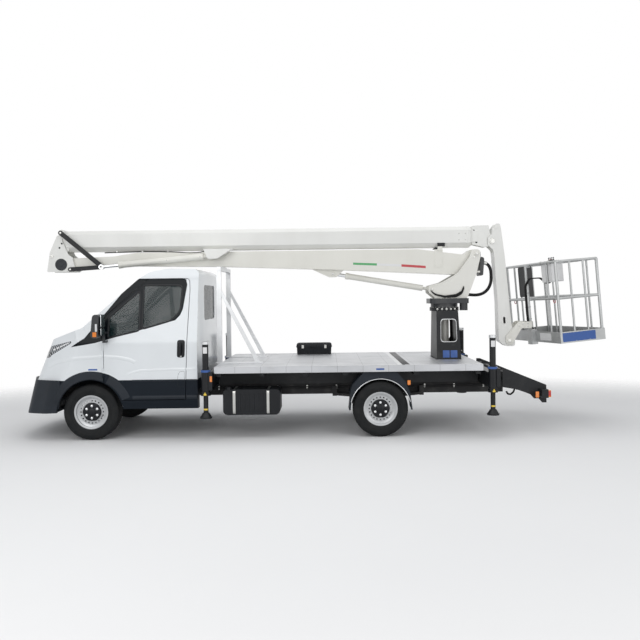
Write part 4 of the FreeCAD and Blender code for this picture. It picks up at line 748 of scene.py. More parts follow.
class Form:
    """A mesh that grows by whole surfaces and ends as one piece on one body."""

    def __init__(self, name: str, finish: Finish, body: str = "chassis", slot: str = "") -> None:
        """Starts an empty piece that rides on a body and keeps a slot, its finish's or another given, which done()
        ignores.
        """
        self.name, self.finish, self.body, self.slot = name, finish, body, slot or finish.slot
        self.points: list[np.ndarray] = []
        self.faces: list[list[int]] = []
        self.count = 0

    def grid(self, points: np.ndarray, wrap_rows: bool = False, wrap_columns: bool = False) -> Form:
        """Adds a surface given as a (rows, columns, 3) grid, whose ends may join either way."""
        rows, columns = points.shape[:2]
        self.faces += grid_faces(rows, columns, wrap_rows, wrap_columns, self.count).tolist()
        self.points.append(points.reshape(-1, 3))
        self.count += rows * columns
        return self

    def capped(self, points: np.ndarray) -> Form:
        """Adds (rings, points, 3) of closed rings, with both end rings filled."""
        start, around = self.count, points.shape[1]
        self.grid(points, wrap_columns=True)
        self.faces.append(list(range(start, start + around))[::-1])
        self.faces.append(list(range(self.count - around, self.count)))
        return self

    def shell(self, outer: np.ndarray, inner: np.ndarray, wrap_rows: bool = False) -> Form:
        """Adds two surfaces over the same grid, joined round their rims into one closed skin."""
        rings = np.concatenate([outer, inner[:, ::-1]], axis=1)
        return self.grid(rings, True, True) if wrap_rows else self.capped(rings)

    def slab(self, outline: np.ndarray, axis: str, low: float, high: float, bevel: float = 0.002) -> Form:
        """An outline carried along an axis, with a small bevel at both ends.

        Args:
            outline: (u, v): (y, z) for x, (x, z) for y, (x, y) for z.
            axis: "x", "y" or "z".
            low: where it starts.
            high: where it ends.
            bevel: how far the ends draw in.

        Returns:
            The form.
        """
        out = outline - outline.mean(axis=0)
        drawn = outline - out / np.linalg.norm(out, axis=1, keepdims=True).clip(1e-6) * bevel
        levels = ((drawn, low), (outline, low + bevel), (outline, high - bevel), (drawn, high))
        return self.capped(np.stack([np.insert(ring, "xyz".index(axis), at, axis=1) for ring, at in levels]))

    def block(self, centre: Spot, size: Spot, radius: float = 0.004) -> Form:
        """A box about a centre, with rounded edges along its thinnest axis and bevelled ends."""
        thin = int(np.argmin(size))
        (u, half_u), (v, half_v) = ((centre[k], size[k] / 2) for k in range(3) if k != thin)
        outline = oblong((-half_u, half_u), (-half_v, half_v), min(radius, half_u * 0.9, half_v * 0.9)) + (u, v)
        half = size[thin] / 2
        return self.slab(outline, "xyz"[thin], centre[thin] - half, centre[thin] + half, min(radius / 2, half * 0.4))

    def lathe(self, profile: Sequence[Pair], centre: Spot, axis: Spot, sides: int = 24,
              hollow: bool = False) -> Form:
        """A profile turned about an axis: centre plus place along the axis, plus radius times a circle square to it.

        Args:
            profile: (place along the axis, radius), which runs back to its start where it is hollow.
            centre: a place on the axis.
            axis: its direction.
            sides: points round.
            hollow: makes a ring with a hole instead of closed ends.

        Returns:
            The form.
        """
        along = unit(axis)
        one = unit(np.cross(UP if abs(along[2]) < 0.9 else (1.0, 0.0, 0.0), along))
        place, radius = np.array(profile, float).T[..., None, None]
        rings = np.array(centre, float) + place * along + radius.clip(1e-4) * circle(one, np.cross(along, one), sides)
        return self.grid(rings, True, True) if hollow else self.capped(rings)

    def tube(self, path: np.ndarray, radius: float, sides: int = 10) -> Form:
        """A circle carried along a path, square to it."""
        path = np.asarray(path, float)
        run = unit(np.gradient(path, axis=0))
        one = unit(np.cross(run, np.eye(3)[int(np.argmin(np.abs(run).mean(axis=0)))]))
        return self.capped(path[:, None] + radius * circle(one[:, None], np.cross(run, one)[:, None], sides))

    def loop(self, ring: np.ndarray, radius: float) -> Form:
        """A thin bead along a closed ring of points."""
        return self.tube(np.concatenate([ring, ring[:1]]), radius, 6)

    def bolts(self, places: np.ndarray, axis: Spot, radius: float = 0.009) -> Form:
        """Hexagon heads on washers, standing out along an axis from one or more seats."""
        rim, high = radius * 1.35, radius * 0.8
        for place in np.reshape(places, (-1, 3)):
            self.lathe([(-0.001, rim), (0.0015, rim)], place, axis, 16)
            self.lathe([(0.001, radius), (high * 0.85, radius), (high, radius * 0.8)], place, axis, 6)
        return self

    def mirrored(self) -> Form:
        """Adds the same surfaces on the truck's other side."""
        self.points.append(np.concatenate(self.points) * (1, -1, 1))
        self.faces += [[index + self.count for index in reversed(face)] for face in self.faces]
        self.count *= 2
        return self

    def done(self, *replaced: str, crease: float = 35.0) -> bpy.types.Object:
        """Makes the mesh, points its faces outwards and sets it on its body.

        Args:
            replaced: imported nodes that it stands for.
            crease: edges sharper than this many degrees stay sharp.

        Returns:
            The object.
        """
        mesh = bpy.data.meshes.new(self.name)
        mesh.from_pydata(np.concatenate(self.points).tolist(), [], self.faces)
        work = bmesh.new()
        work.from_mesh(mesh)
        bmesh.ops.recalc_face_normals(work, faces=work.faces[:])
        work.to_mesh(mesh)
        work.free()
        mesh.shade_smooth()
        mesh.set_sharp_from_angle(angle=math.radians(crease))
        mesh.materials.append(self.finish.material())
        item = added(self.name, mesh)
        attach(item, self.body)
        if replaced:
            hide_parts(*replaced)
        LOG.info("%s rides on %s with %d faces", self.name, self.body, len(mesh.polygons))
        return item


# cab


@dataclass
class CabSkin:
    """The painted surface of the cab, as a half width or a nose for any height, in millimetres from the front axle."""

    plan_line: Places = (
        (3200, 0), (3200, 1010), (-330, 1008, 350), (-723, 850, 150), (-815, 600, 300), (-905, 300, 300), (-905, 0),
    )
    front_line: Places = (
        (0, 300), (965, 355), (1000, 470, 60), (1000, 1215, 300), (822, 2060, 140), (690, 2182, 110), (0, 2182),
    )
    side_line: Places = (
        (-862, 600), (-862, 735), (-855, 860, 60), (-800, 1000, 120), (-700, 1150, 110), (-520, 1262, 300),
        (-95, 1412), (598, 2030, 90), (740, 2135, 200), (960, 2180, 500), (1330, 2172),
    )
    level: float = 735.0
    lean: float = math.tan(math.radians(22))

    def __post_init__(self) -> None:
        """Rounds the three outlines once, and sorts them so that they can be read off."""
        seen, front, self.side = (rounded(line, 9) for line in (self.plan_line, self.front_line, self.side_line))
        self.front = front[1:-1]
        flanks, nose = seen[seen[:, 1] > 0], seen[seen[:, 0] < 3000]
        self.flanks, self.prow = flanks[np.argsort(flanks[:, 0])], nose[np.argsort(nose[:, 1])]
        roof = self.side[self.side[:, 1] > 1500]
        self.roof = roof[np.argsort(roof[:, 0])]

    def flank(self, x: Numbers, z: Numbers, side: Side, proud: Numbers) -> np.ndarray:
        """Places on the cab's side: the lesser of the front outline at z and the plan, which leans back with height.

        Args:
            x: distances behind the axle.
            z: heights.
            side: which side.
            proud: how far out from the skin, in millimetres.

        Returns:
            The places in the row frame.
        """
        across = np.interp(z, self.front[:, 1], self.front[:, 0])
        half = np.minimum(across, np.interp(x - (z - self.level) * self.lean, *self.flanks.T))
        return row(x, side.value * (half + proud), z)

    def bow(self, y: Numbers, z: Numbers, proud: Numbers) -> np.ndarray:
        """Places on the cab's front: the greater of the side outline at z and the leaned plan at y."""
        leaned = np.interp(np.abs(y), self.prow[:, 1], self.prow[:, 0]) + (z - self.level) * self.lean
        return row(np.maximum(np.interp(z, self.side[:, 1], self.side[:, 0]), leaned) - proud, y, z)

    def cover(self, form: Form, side: Side, place: np.ndarray, height: np.ndarray, depth: float,
              wrap: bool = False) -> Form:
        """Adds a closed skin over a grid of (x, z) on the cab's side, from a height above it to a depth under it."""
        x, z = place[..., 0], place[..., 1]
        return form.shell(self.flank(x, z, side, height), self.flank(x, z, side, -depth), wrap)

    def strip(self, form: Form, path: np.ndarray, width: float, proud: float, side: Side, power: float = 1.0) -> Form:
        """Adds a raised strip along a path on the cab's side, highest in its middle.

        Args:
            form: the form.
            path: places (x, z).
            width: the strip's width.
            proud: its height.
            side: which side.
            power: under 1 for a flatter top.

        Returns:
            The form.
        """
        run = unit(np.gradient(path, axis=0))
        t = np.linspace(-1, 1, 9)
        height = np.maximum(np.cos(t * math.pi / 2), 0) ** power * proud
        place = path[:, None] + (run[:, ::-1] * (-1, 1))[:, None] * (t[:, None] * width / 2)
        return self.cover(form, side, place, height - 0.3, 4.0)

    def ring(self, form: Form, outline: np.ndarray, inwards: float, outwards: float, proud: float, side: Side) -> Form:
        """Adds a raised band along a closed outline on the cab's side.

        Args:
            form: the form.
            outline: places (x, z).
            inwards: how far the band reaches into the outline.
            outwards: how far it reaches out of it.
            proud: its height in the middle.
            side: which side.

        Returns:
            The form.
        """
        t = np.linspace(0, 1, 6)
        low, high = grown(outline, -inwards), grown(outline, outwards)
        place = low[:, None] + (high - low)[:, None] * t[:, None]
        return self.cover(form, side, place, np.sin(t * math.pi) ** 0.5 * proud - 0.3, 6.0, True)

    def rib(self, form: Form, half: float, count: int, z: np.ndarray, height: np.ndarray, depth: float) -> Form:
        """Adds a rib of some half width across the cab's front, which stands out by a height at each z."""
        y, z = np.broadcast_arrays(np.linspace(-half, half, count)[:, None], z)
        return form.shell(self.bow(y, z, height), self.bow(y, z, -depth))


SKIN = CabSkin()


def grown(outline: np.ndarray, by: float) -> np.ndarray:
    """A closed outline moved outwards square to itself, or inwards where the distance is negative."""
    after = np.roll(outline, -1, axis=0)
    run = unit(after - np.roll(outline, 1, axis=0))
    area = np.sum(outline[:, 0] * after[:, 1] - after[:, 0] * outline[:, 1])
    return outline + run[:, ::-1] * (1, -1) * np.sign(area) * by


def level_line(x: np.ndarray, z: float) -> np.ndarray:
    """(x, z) places at one height."""
    return np.stack([x, np.full_like(x, z)], 1)


@dataclass
class CabTrim:
    """Flares, mouldings, seals, handles, mirrors' glass, wipers and lamps on the cab."""

    door_front: float = 188.0
    door_rear: float = 1243.0
    gap: float = 5.0
    arch: Triple = (20.0, 308.0, 432.0)
    flare_width: float = 112.0
    windows: tuple[Places, ...] = (
        ((690, 1392, 20), (1040, 1492, 150), (1168, 1610, 120), (1196, 1950, 60), (690, 1955, 25)),
        ((250, 1282, 25), (640, 1372, 20), (640, 1890, 25), (255, 1548, 60)),
    )
    flap_seam: Places = ((1146, 640), (1232, 640), (1232, 838), (1170, 838, 60), (1146, 780, 40))
    creases: Table = (
        ("upper", 54, 4.5, ((-567, 910), (-436, 973), (-177, 1018), (179, 1038), (372, 1028), (533, 994), (597, 961))),
        ("lower", 36, 3.0, ((514, 816), (660, 855), (1112, 866), (1371, 867))),
    )
    headlamp: Pair = (-585.0, 1062.0)
    wiper_arms: Table = (((-620, 1470), (60, 1560)), ((40, 1470), (700, 1530)))

    def flares(self, side: Side) -> None:
        """The arch's flare: a band whose inner lip stands proud, in a part on the cab and one on the door."""
        t = np.linspace(0, 1, 12)
        reach = self.arch[2] + t * self.flare_width
        height = 13.0 * (1 - t) ** 0.7 * np.minimum(1, t * 14) + 1.5
        for word, start, end, body in (("cab", 172, 69, "chassis"), ("door", 63, 22, side.door)):
            turn = np.radians(np.linspace(start, end, 40))[:, None]
            x, z = self.arch[0] + np.cos(turn) * reach, self.arch[1] + np.sin(turn) * reach
            on_door = word == "door"
            x = np.maximum(x, self.door_front + self.gap + 3) if on_door else np.minimum(x, self.door_front - self.gap)
            form = Form(f"flare_{word}_{side.word}", CLADDING, body)
            SKIN.cover(form, side, np.stack([x, z], -1), height, 5.0).done()

    def mouldings(self, side: Side) -> None:
        """A lip along the top of the cladding and one along the sill."""
        for word, start, end, body in (
            ("door", 560.0, self.door_rear - 3, side.door), ("cab", self.door_rear + 12, 1392.0, "chassis"),
        ):
            form = Form(f"side_moulding_{word}_{side.word}", CLADDING, body)
            for z, width, proud in ((724.0, 26.0, 7.0), (505.0, 50.0, 9.0)):
                SKIN.strip(form, level_line(np.linspace(start, end, 24), z), width, proud, side, 0.6)
            form.done()

    def swages(self, side: Side) -> None:
        """The two swage lines in the sheet, each a low soft ridge that stops at the door's gaps."""
        for word, width, proud, path in self.creases:
            line = smooth_path(path, 120)
            for place, low, high, body in (
                ("cab_front", -math.inf, self.door_front - self.gap, "chassis"),
                ("door", self.door_front + self.gap, self.door_rear - 2, side.door),
                ("cab_rear", self.door_rear + 12, math.inf, "chassis"),
            ):
                run = line[(line[:, 0] > low) & (line[:, 0] < high)]
                if len(run) > 6:
                    form = Form(f"crease_{word}_{place}_{side.word}", WHITE, body)
                    SKIN.strip(form, run, width, proud, side).done(crease=60)

    def seals(self, side: Side) -> None:
        """Rubber seals round both side windows, and the thin seam of the filler flap on the door's rear corner."""
        form = Form(f"window_seals_{side.word}", TRIM_BLACK, side.door)
        for outline in self.windows:
            SKIN.ring(form, resample(rounded(outline, 8), 96, closed=True), 7, 15, 4.0, side)
        form.done()
        seam = resample(rounded(self.flap_seam, 6), 60, closed=True)
        SKIN.ring(Form(f"flap_seam_{side.word}", TRIM_BLACK, side.door), seam, 1.6, 1.6, 1.4, side).done()

    def handle(self, side: Side) -> None:
        """A black pad with a scooped cup and an upright grip over it, and its lock."""
        form = Form(f"door_handle_{side.word}", TRIM_BLACK, side.door)
        outline = rounded([(1138, 1018, 34), (1238, 1018, 34), (1246, 1244, 34), (1146, 1244, 34)], 7)
        middle = outline.mean(axis=0)
        t = np.linspace(0.02, 1, 10)
        height = 7.0 * np.clip((1 - t) * 8, 0, 1) ** 0.5 + 1.0 - 4.0 * np.exp(-((t / 0.45) ** 2))
        SKIN.cover(form, side, middle + (outline - middle)[:, None] * t[:, None], height, 5.0, True)
        arch = np.sin(np.linspace(0, math.pi, 14)) ** 0.4 * 24 + 4
        form.tube(SKIN.flank(1190.0, np.linspace(1048, 1216, 14), side, arch), 0.013, 12).done()
        lock, seat = [(-0.003, 0.010), (0.004, 0.010), (0.005, 0.006)], SKIN.flank(1192.0, 1034.0, side, 5.0)
        Form(f"door_lock_{side.word}", ZINC, side.door, "wheel_steel").lathe(lock, seat, side.out, 16).done()

    def mirrors(self, side: Side) -> None:
        """A large and a small glass in the rear of each mirror."""
        low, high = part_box(f"mirror_{side.word}")
        y = (low[1] if side is Side.LEFT else high[1]) - side.value * 0.095
        glass = Form(f"mirror_glass_{side.word}", MIRROR_GLASS, side.door)
        for z, half in ((1.56, 0.08), (1.42, 0.045)):
            outline = oblong((y - 0.072, y + 0.072), (z - half, z + half), 0.02, 7)
            glass.slab(outline, "x", high[0] - 0.004, high[0] + 0.003, 0.002)
        glass.done()

    def lamps(self, side: Side) -> None:
        """Inside each headlamp: a dark bowl with its projector and ring, and a ribbed bright tail."""
        turn, t = np.linspace(0, TURN, 40, endpoint=False)[:, None], np.linspace(0, 1, 8)
        for name, finish, start, end, proud in (
            ("bowl", TRIM_BLACK, 0.5, 46.0, 2.0), ("ring", CHROME, 30.0, 37.0, 5.0), ("eye", LAMPS, 0.5, 27.0, 8.0),
        ):
            reach = start + (end - start) * t
            x, z = self.headlamp[0] + np.cos(turn) * reach * 1.15, self.headlamp[1] + np.sin(turn) * reach * 0.8
            height = proud * np.sqrt(np.clip(1 - ((2 * t - 1) if start > 1 else t) ** 2, 0, 1)) + 1.0
            form = Form(f"headlamp_{name}_{side.word}", finish)
            SKIN.cover(form, side, np.stack([x, z], -1), height, 6.0, True).done()
        tail = Form(f"headlamp_tail_{side.word}", CHROME)
        for step in range(5):
            x = np.linspace(-500 + step * 46, -470 + step * 50, 8)
            path = np.stack([x, 1125 + step * 19 + (x - x[0]) * 0.45], 1)
            SKIN.strip(tail, path, 20.0 - step * 2, 2.5, side)
        tail.done()

    def front(self) -> None:
        """Bonnet lip, grille slats and frame, wipers and the low roof visor."""
        t = np.linspace(0, 1, 6)
        lip = Form("bonnet_lip", TRIM_BLACK, "bonnet")
        SKIN.rib(lip, 812, 60, 1392 - 26.0 * t, 2.0 + 3.0 * np.sin(t * math.pi), 3.0).done()
        t = np.linspace(-1, 1, 7)
        dome = np.sqrt(np.clip(1 - t**2, 0, 1))
        slats = Form("grille_frame", TRIM_BLACK)
        for level, half, proud in ((873, 11, 9.0), (930, 8, 6.0), (975, 8, 6.0), (1020, 8, 6.0), (1068, 12, 9.0)):
            SKIN.rib(slats, 515, 40, level + t * half, proud * dome, 4.0)
        slats.done()
        SKIN.rib(Form("grille_bar", CHROME), 300, 30, 1043 + t * 7, 10.0 * dome, 2.0).done()
        wipers = Form("wipers", TRIM_BLACK)
        for start, end in np.array(self.wiper_arms, float):
            for low, high, lift, proud, radius, sides in ((0, 1, 0, 12.0, 0.007, 8), (-0.15, 1.1, 24, 7.0, 0.004, 6)):
                y, z = (start + (end - start) * np.linspace(low, high, 24)[:, None] + (0, lift)).T
                wipers.tube(SKIN.bow(y, z, proud), radius, sides)
            wipers.lathe([(-0.01, 0.022), (0.016, 0.020), (0.02, 0.012)], SKIN.bow(*start, 4.0), (-0.66, 0, 0.75), 16)
        wipers.done()
        x, y = np.linspace(545, 770, 14), np.linspace(-330, 330, 30)[:, None]
        level = np.interp(x, *SKIN.roof.T)
        rise = 16.0 * np.sin(np.linspace(0, math.pi, 14)) ** 0.6
        edge = np.clip((330 - np.abs(y)) / 40, 0, 1) ** 0.5
        visor = Form("roof_visor", TRIM_BLACK)
        visor.shell(row(x, y, level + rise * edge + 0.5), row(x, y, level - 6)).done()

    def build(self) -> None:
        """Builds every piece of trim, on both sides, with the blank blue tab over each front arch."""
        for side in Side:
            for make in (self.flares, self.mouldings, self.swages, self.seals, self.handle, self.mirrors, self.lamps):
                make(side)
            tab = Form(f"wing_tab_{side.word}", SIGN_BLUE)
            SKIN.strip(tab, level_line(np.linspace(-8, 108, 8), 873), 22.0, 1.6, side, 0.3).done()
        self.front()


# wheels


@dataclass
class Wheels:
    """Four tyres with their tread and plain flanks, and the hubs' caps, nuts, rings and valves."""

    seat: float = 0.2055
    bead_half: float = 0.086
    rows: int = 120
    nut_circle: float = 0.080
    middle_y: float = 847.5
    middle_z: float = 313.0
    axles: Table = (("front", 0.0), ("rear", 3765.0))
    section: Line = (
        (0.086, 0.2055), (0.094, 0.228), (0.104, 0.252), (0.1115, 0.285), (0.1118, 0.305), (0.108, 0.327),
        (0.101, 0.343), (0.094, 0.3525), (0.086, 0.3585), (0.062, 0.3615), (0.056, 0.3617), (0.054, 0.3535),
        (0.048, 0.3535), (0.046, 0.3622), (0.022, 0.3628), (0.016, 0.3629), (0.014, 0.3540), (0.008, 0.3540),
        (0.006, 0.3630),
    )
    cap: Line = (
        (-0.013, 0.1180), (0.010, 0.1175), (0.015, 0.1140), (0.017, 0.1080), (0.0175, 0.060), (0.030, 0.054),
        (0.034, 0.047), (0.0345, 0.001),
    )

    def tyre(self, end: str, side: Side, x: float) -> None:
        """One tyre: the section turned about the axle, with sipes that dip the shoulders' radius.

        Args:
            end: "front" or "rear".
            side: which side.
            x: the axle's place.
        """
        across, radius = np.array([*self.section, *((-a, r) for a, r in self.section[::-1])]).T
        wave = np.tile((0.0, 0.0, 1.0), self.rows)[:, None]
        shoulder = np.clip((radius - 0.352) / 0.004, 0, 1) * np.clip((np.abs(across) - 0.055) / 0.008, 0, 1)
        rib = (np.abs(across) < 0.047) & (radius > 0.36)
        reach = radius - wave * (shoulder * 0.0045 + rib * 0.0025)
        spin = circle(np.array((1.0, 0, 0)), np.array((0, 0, 1.0)), self.rows * 3)[:, None]
        hub, axle = row(x, side.value * self.middle_y, self.middle_z), np.array((0, 1.0, 0))
        form = Form(f"road_tyre_{end}_{side.word}", TYRE, f"wheel_{end}_{side.word}")
        form.grid(hub + spin * reach[..., None] + across[:, None] * axle, wrap_rows=True)
        form.grid(hub + spin * self.seat + np.array([[-self.bead_half], [self.bead_half]]) * axle, wrap_rows=True)
        for ring, lift in ((0.262, 0.0014), (0.270, 0.0010), (0.322, 0.0014)):
            seat = hub + axle * (side.value * np.interp(ring, radius[:8], across[:8]))
            bead = [(-0.002, ring - 0.002), (lift, ring - 0.0008), (lift, ring + 0.0008), (-0.002, ring + 0.002)]
            form.lathe(bead, seat, side.out, 96, hollow=True)
        form.done(f"tyre_{end}_{side.word}", crease=28)

    def hub(self, end: str, side: Side, x: float) -> None:
        """A dark cap with soft corners, its six nuts, a bright ring about it and a valve.

        Args:
            end: "front" or "rear".
            side: which side.
            x: the axle's place.
        """
        word, out = f"{end}_{side.word}", np.array(side.out, float)
        body = f"wheel_{word}"
        low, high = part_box(f"wheel_{end}_{side.word}")
        seat = row(x, 0, self.middle_z) + out * (abs((low if side is Side.LEFT else high)[1]) - 0.045)
        turn, (place, radius) = np.linspace(0, TURN, 96, endpoint=False), np.array(self.cap).T[..., None]
        reach = radius * (1 + 0.045 * np.cos(6 * turn) * np.clip(radius / 0.112, 0, 1) ** 4)
        face = np.stack([np.cos(turn) * reach, np.zeros_like(reach), np.sin(turn) * reach], -1)
        Form(f"hub_cap_{word}", TRIM_BLACK, body).capped(seat + out * place[..., None] + face).done()
        angle = np.arange(6) * TURN / 6 + 0.52
        nuts = np.stack([np.cos(angle), 0 * angle, np.sin(angle)], 1) * self.nut_circle
        Form(f"wheel_nuts_{word}", CHROME, body).bolts(seat + out * 0.0165 + nuts, out, 0.0115).done()
        rim = [(-0.006, 0.120), (0.004, 0.121), (0.006, 0.124), (0.005, 0.129), (-0.006, 0.133)]
        Form(f"hub_ring_{word}", RIM_SILVER, body).lathe(rim, seat, out, 72, hollow=True).done()
        stem = [(0, 0.005), (0.012, 0.0045), (0.014, 0.0035), (0.026, 0.0035), (0.027, 0.002)]
        Form(f"valve_{word}", TRIM_BLACK, body).lathe(stem, seat + (0.13, 0, -0.06), out, 12).done()

    def build(self) -> None:
        """Builds all four."""
        for end, x in self.axles:
            for side in Side:
                self.tyre(end, side, x)
                self.hub(end, side, x)


# hose and seats


@dataclass
class TurretHose:
    """The thick hose that loops down behind the turret's cover to the turntable."""

    across: float = 0.044
    side_y: float = -60.0
    route: Line = (
        (5318.3, 2235), (5372, 2222), (5416, 2150), (5424, 2050), (5420, 1950),
        (5380, 1860), (5310, 1800), (5230, 1778), (5150, 1778), (5054.7, 1790),
    )

    def build(self) -> None:
        """A smooth curve through the route, with a stepped collar at each end."""
        places, half = upright(self.route, self.side_y), self.across / 2
        data = bpy.data.curves.new("turret_hose_line", "CURVE")
        data.dimensions, data.use_fill_caps = "3D", True
        data.bevel_depth, data.bevel_resolution, data.resolution_u = half, 5, 12
        line = data.splines.new("NURBS")
        line.points.add(len(places) - 1)
        for point, place in zip(line.points, places):
            point.co = (*place, 1.0)
        line.order_u, line.use_endpoint_u = 3, True
        data.materials.append(HOSE.material())
        item = added("turret_hose_line", data)
        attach(item, "turret")
        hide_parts("turret_hose")
        collars = Form("hose_collars", ZINC, "turret")
        steps = ((1, 2), (2, 7), (16, 7), (18, 4), (42, 3), (45, 0.5))
        profile = [(along / 1000, half + proud / 1000) for along, proud in steps]
        for end, after in ((0, 1), (-1, -2)):
            collars.lathe(profile, places[end], places[after] - places[end], 20)
        ends = collars.done()
        LOG.info("turret_hose_line rides on turret")


@dataclass
class Seats:
    """The driver's seat and the bench: crowned cushions with sewn channels, on moulded plinths."""

    cushion: Places = ((612, 800, 40), (1085, 800, 20), (1080, 838, 20), (1016, 946, 30), (604, 930, 60))
    back: Places = (
        (1098, 836, 20), (1186, 836, 30), (1284, 1555, 40), (1250, 1598, 40), (1196, 1592, 40), (1026, 958, 40),
    )
    rest: Places = ((1226, 1612, 20), (1290, 1606, 20), (1318, 1740, 40), (1262, 1756, 40))
    plinth: Places = ((640, 636, 20), (1090, 636, 20), (1075, 798, 30), (630, 798, 30))
    seats: Table = (("driver", -680, -180, 3, (-430,)), ("bench", -100, 760, 5, (115, 545)))

    def pad(self, name: str, outline: Places, low: float, high: float, channels: int, *replaced: str) -> None:
        """A cushion: its outline drawn in towards both ends by a crown, and in a little at each sewn channel.

        Args:
            name: the piece's name.
            outline: (x, z) corners with radii, in millimetres.
            low: y where it starts.
            high: y where it ends.
            channels: seams across its width.
            replaced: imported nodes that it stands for.
        """
        ring = resample(rounded(outline, 6), 96, closed=True)
        middle = ring.mean(axis=0)
        across = np.concatenate([np.linspace(0, 0.12, 9), np.linspace(0.12, 0.88, 61)[1:-1], np.linspace(0.88, 1, 9)])
        edge = np.minimum(across, 1 - across) / 0.12
        near = 1 - edge.clip(0, 1)
        crown = 1 - 0.13 * (1 - np.sqrt(1 - near**2))
        seam = np.exp(-((np.abs((across * channels + 0.5) % 1 - 0.5)) / (channels * 0.0075)) ** 2) * (edge > 1.05)
        angle = np.linspace(0, TURN, len(ring), endpoint=False)
        pull = 1 - 0.010 * (1 + np.cos(4 * angle)) * near[:, None]
        x, z = np.moveaxis(middle + (ring - middle) * ((crown - 0.045 * seam)[:, None] * pull)[..., None], -1, 0)
        item = Form(name, SEAT).capped(row(x, (low + (high - low) * across)[:, None], z)).done(*replaced, crease=60)

    def build(self) -> None:
        """Both seats, with head rests on posts."""
        for label, low, high, channels, heads in self.seats:
            self.pad(f"{label}_cushion", self.cushion, low, high, channels, "seats")
            self.pad(f"{label}_backrest", self.back, low + 8, high - 8, channels, "seats")
            stand = Form(f"{label}_seat_plinth", CABIN_GREY)
            stand.slab(plan(rounded(self.plinth, 5)), "y", (low + 35) / 1000, (high - 35) / 1000, 0.008).done()
            posts = Form(f"{label}_rest_posts", CHROME)
            for index, y in enumerate(heads):
                self.pad(f"{label}_head_rest_{index}", self.rest, y - 130, y + 130, 1)
                for off in (y - 55, y + 55):
                    posts.tube(np.linspace(row(1244, off, 1560), row(1262, off, 1640), 4), 0.006)
            posts.done()


# deck and running gear


def patch(name: str, finish: Finish, outline: Places, y: float, thick: float = 1.2, radius: float = 6.0,
          body: str = "chassis", slot: str = "") -> None:
    """A thin blank plate that faces the truck's side.

    Args:
        name: the piece's name.
        finish: its look.
        outline: (x, z) corners in millimetres.
        y: its far side's place across, in millimetres; it stands out from there.
        thick: how far it stands out.
        radius: corner radius.
        body: the body it rides on.
        slot: the record's slot, where it isn't the finish's.
    """
    near, far = sorted((y / 1000, (y + math.copysign(thick, y)) / 1000))
    flat = plan(rounded([(x, z, radius) for x, z in outline], 4))
    Form(name, finish, body, slot).slab(flat, "y", near, far, 0.0003).done()


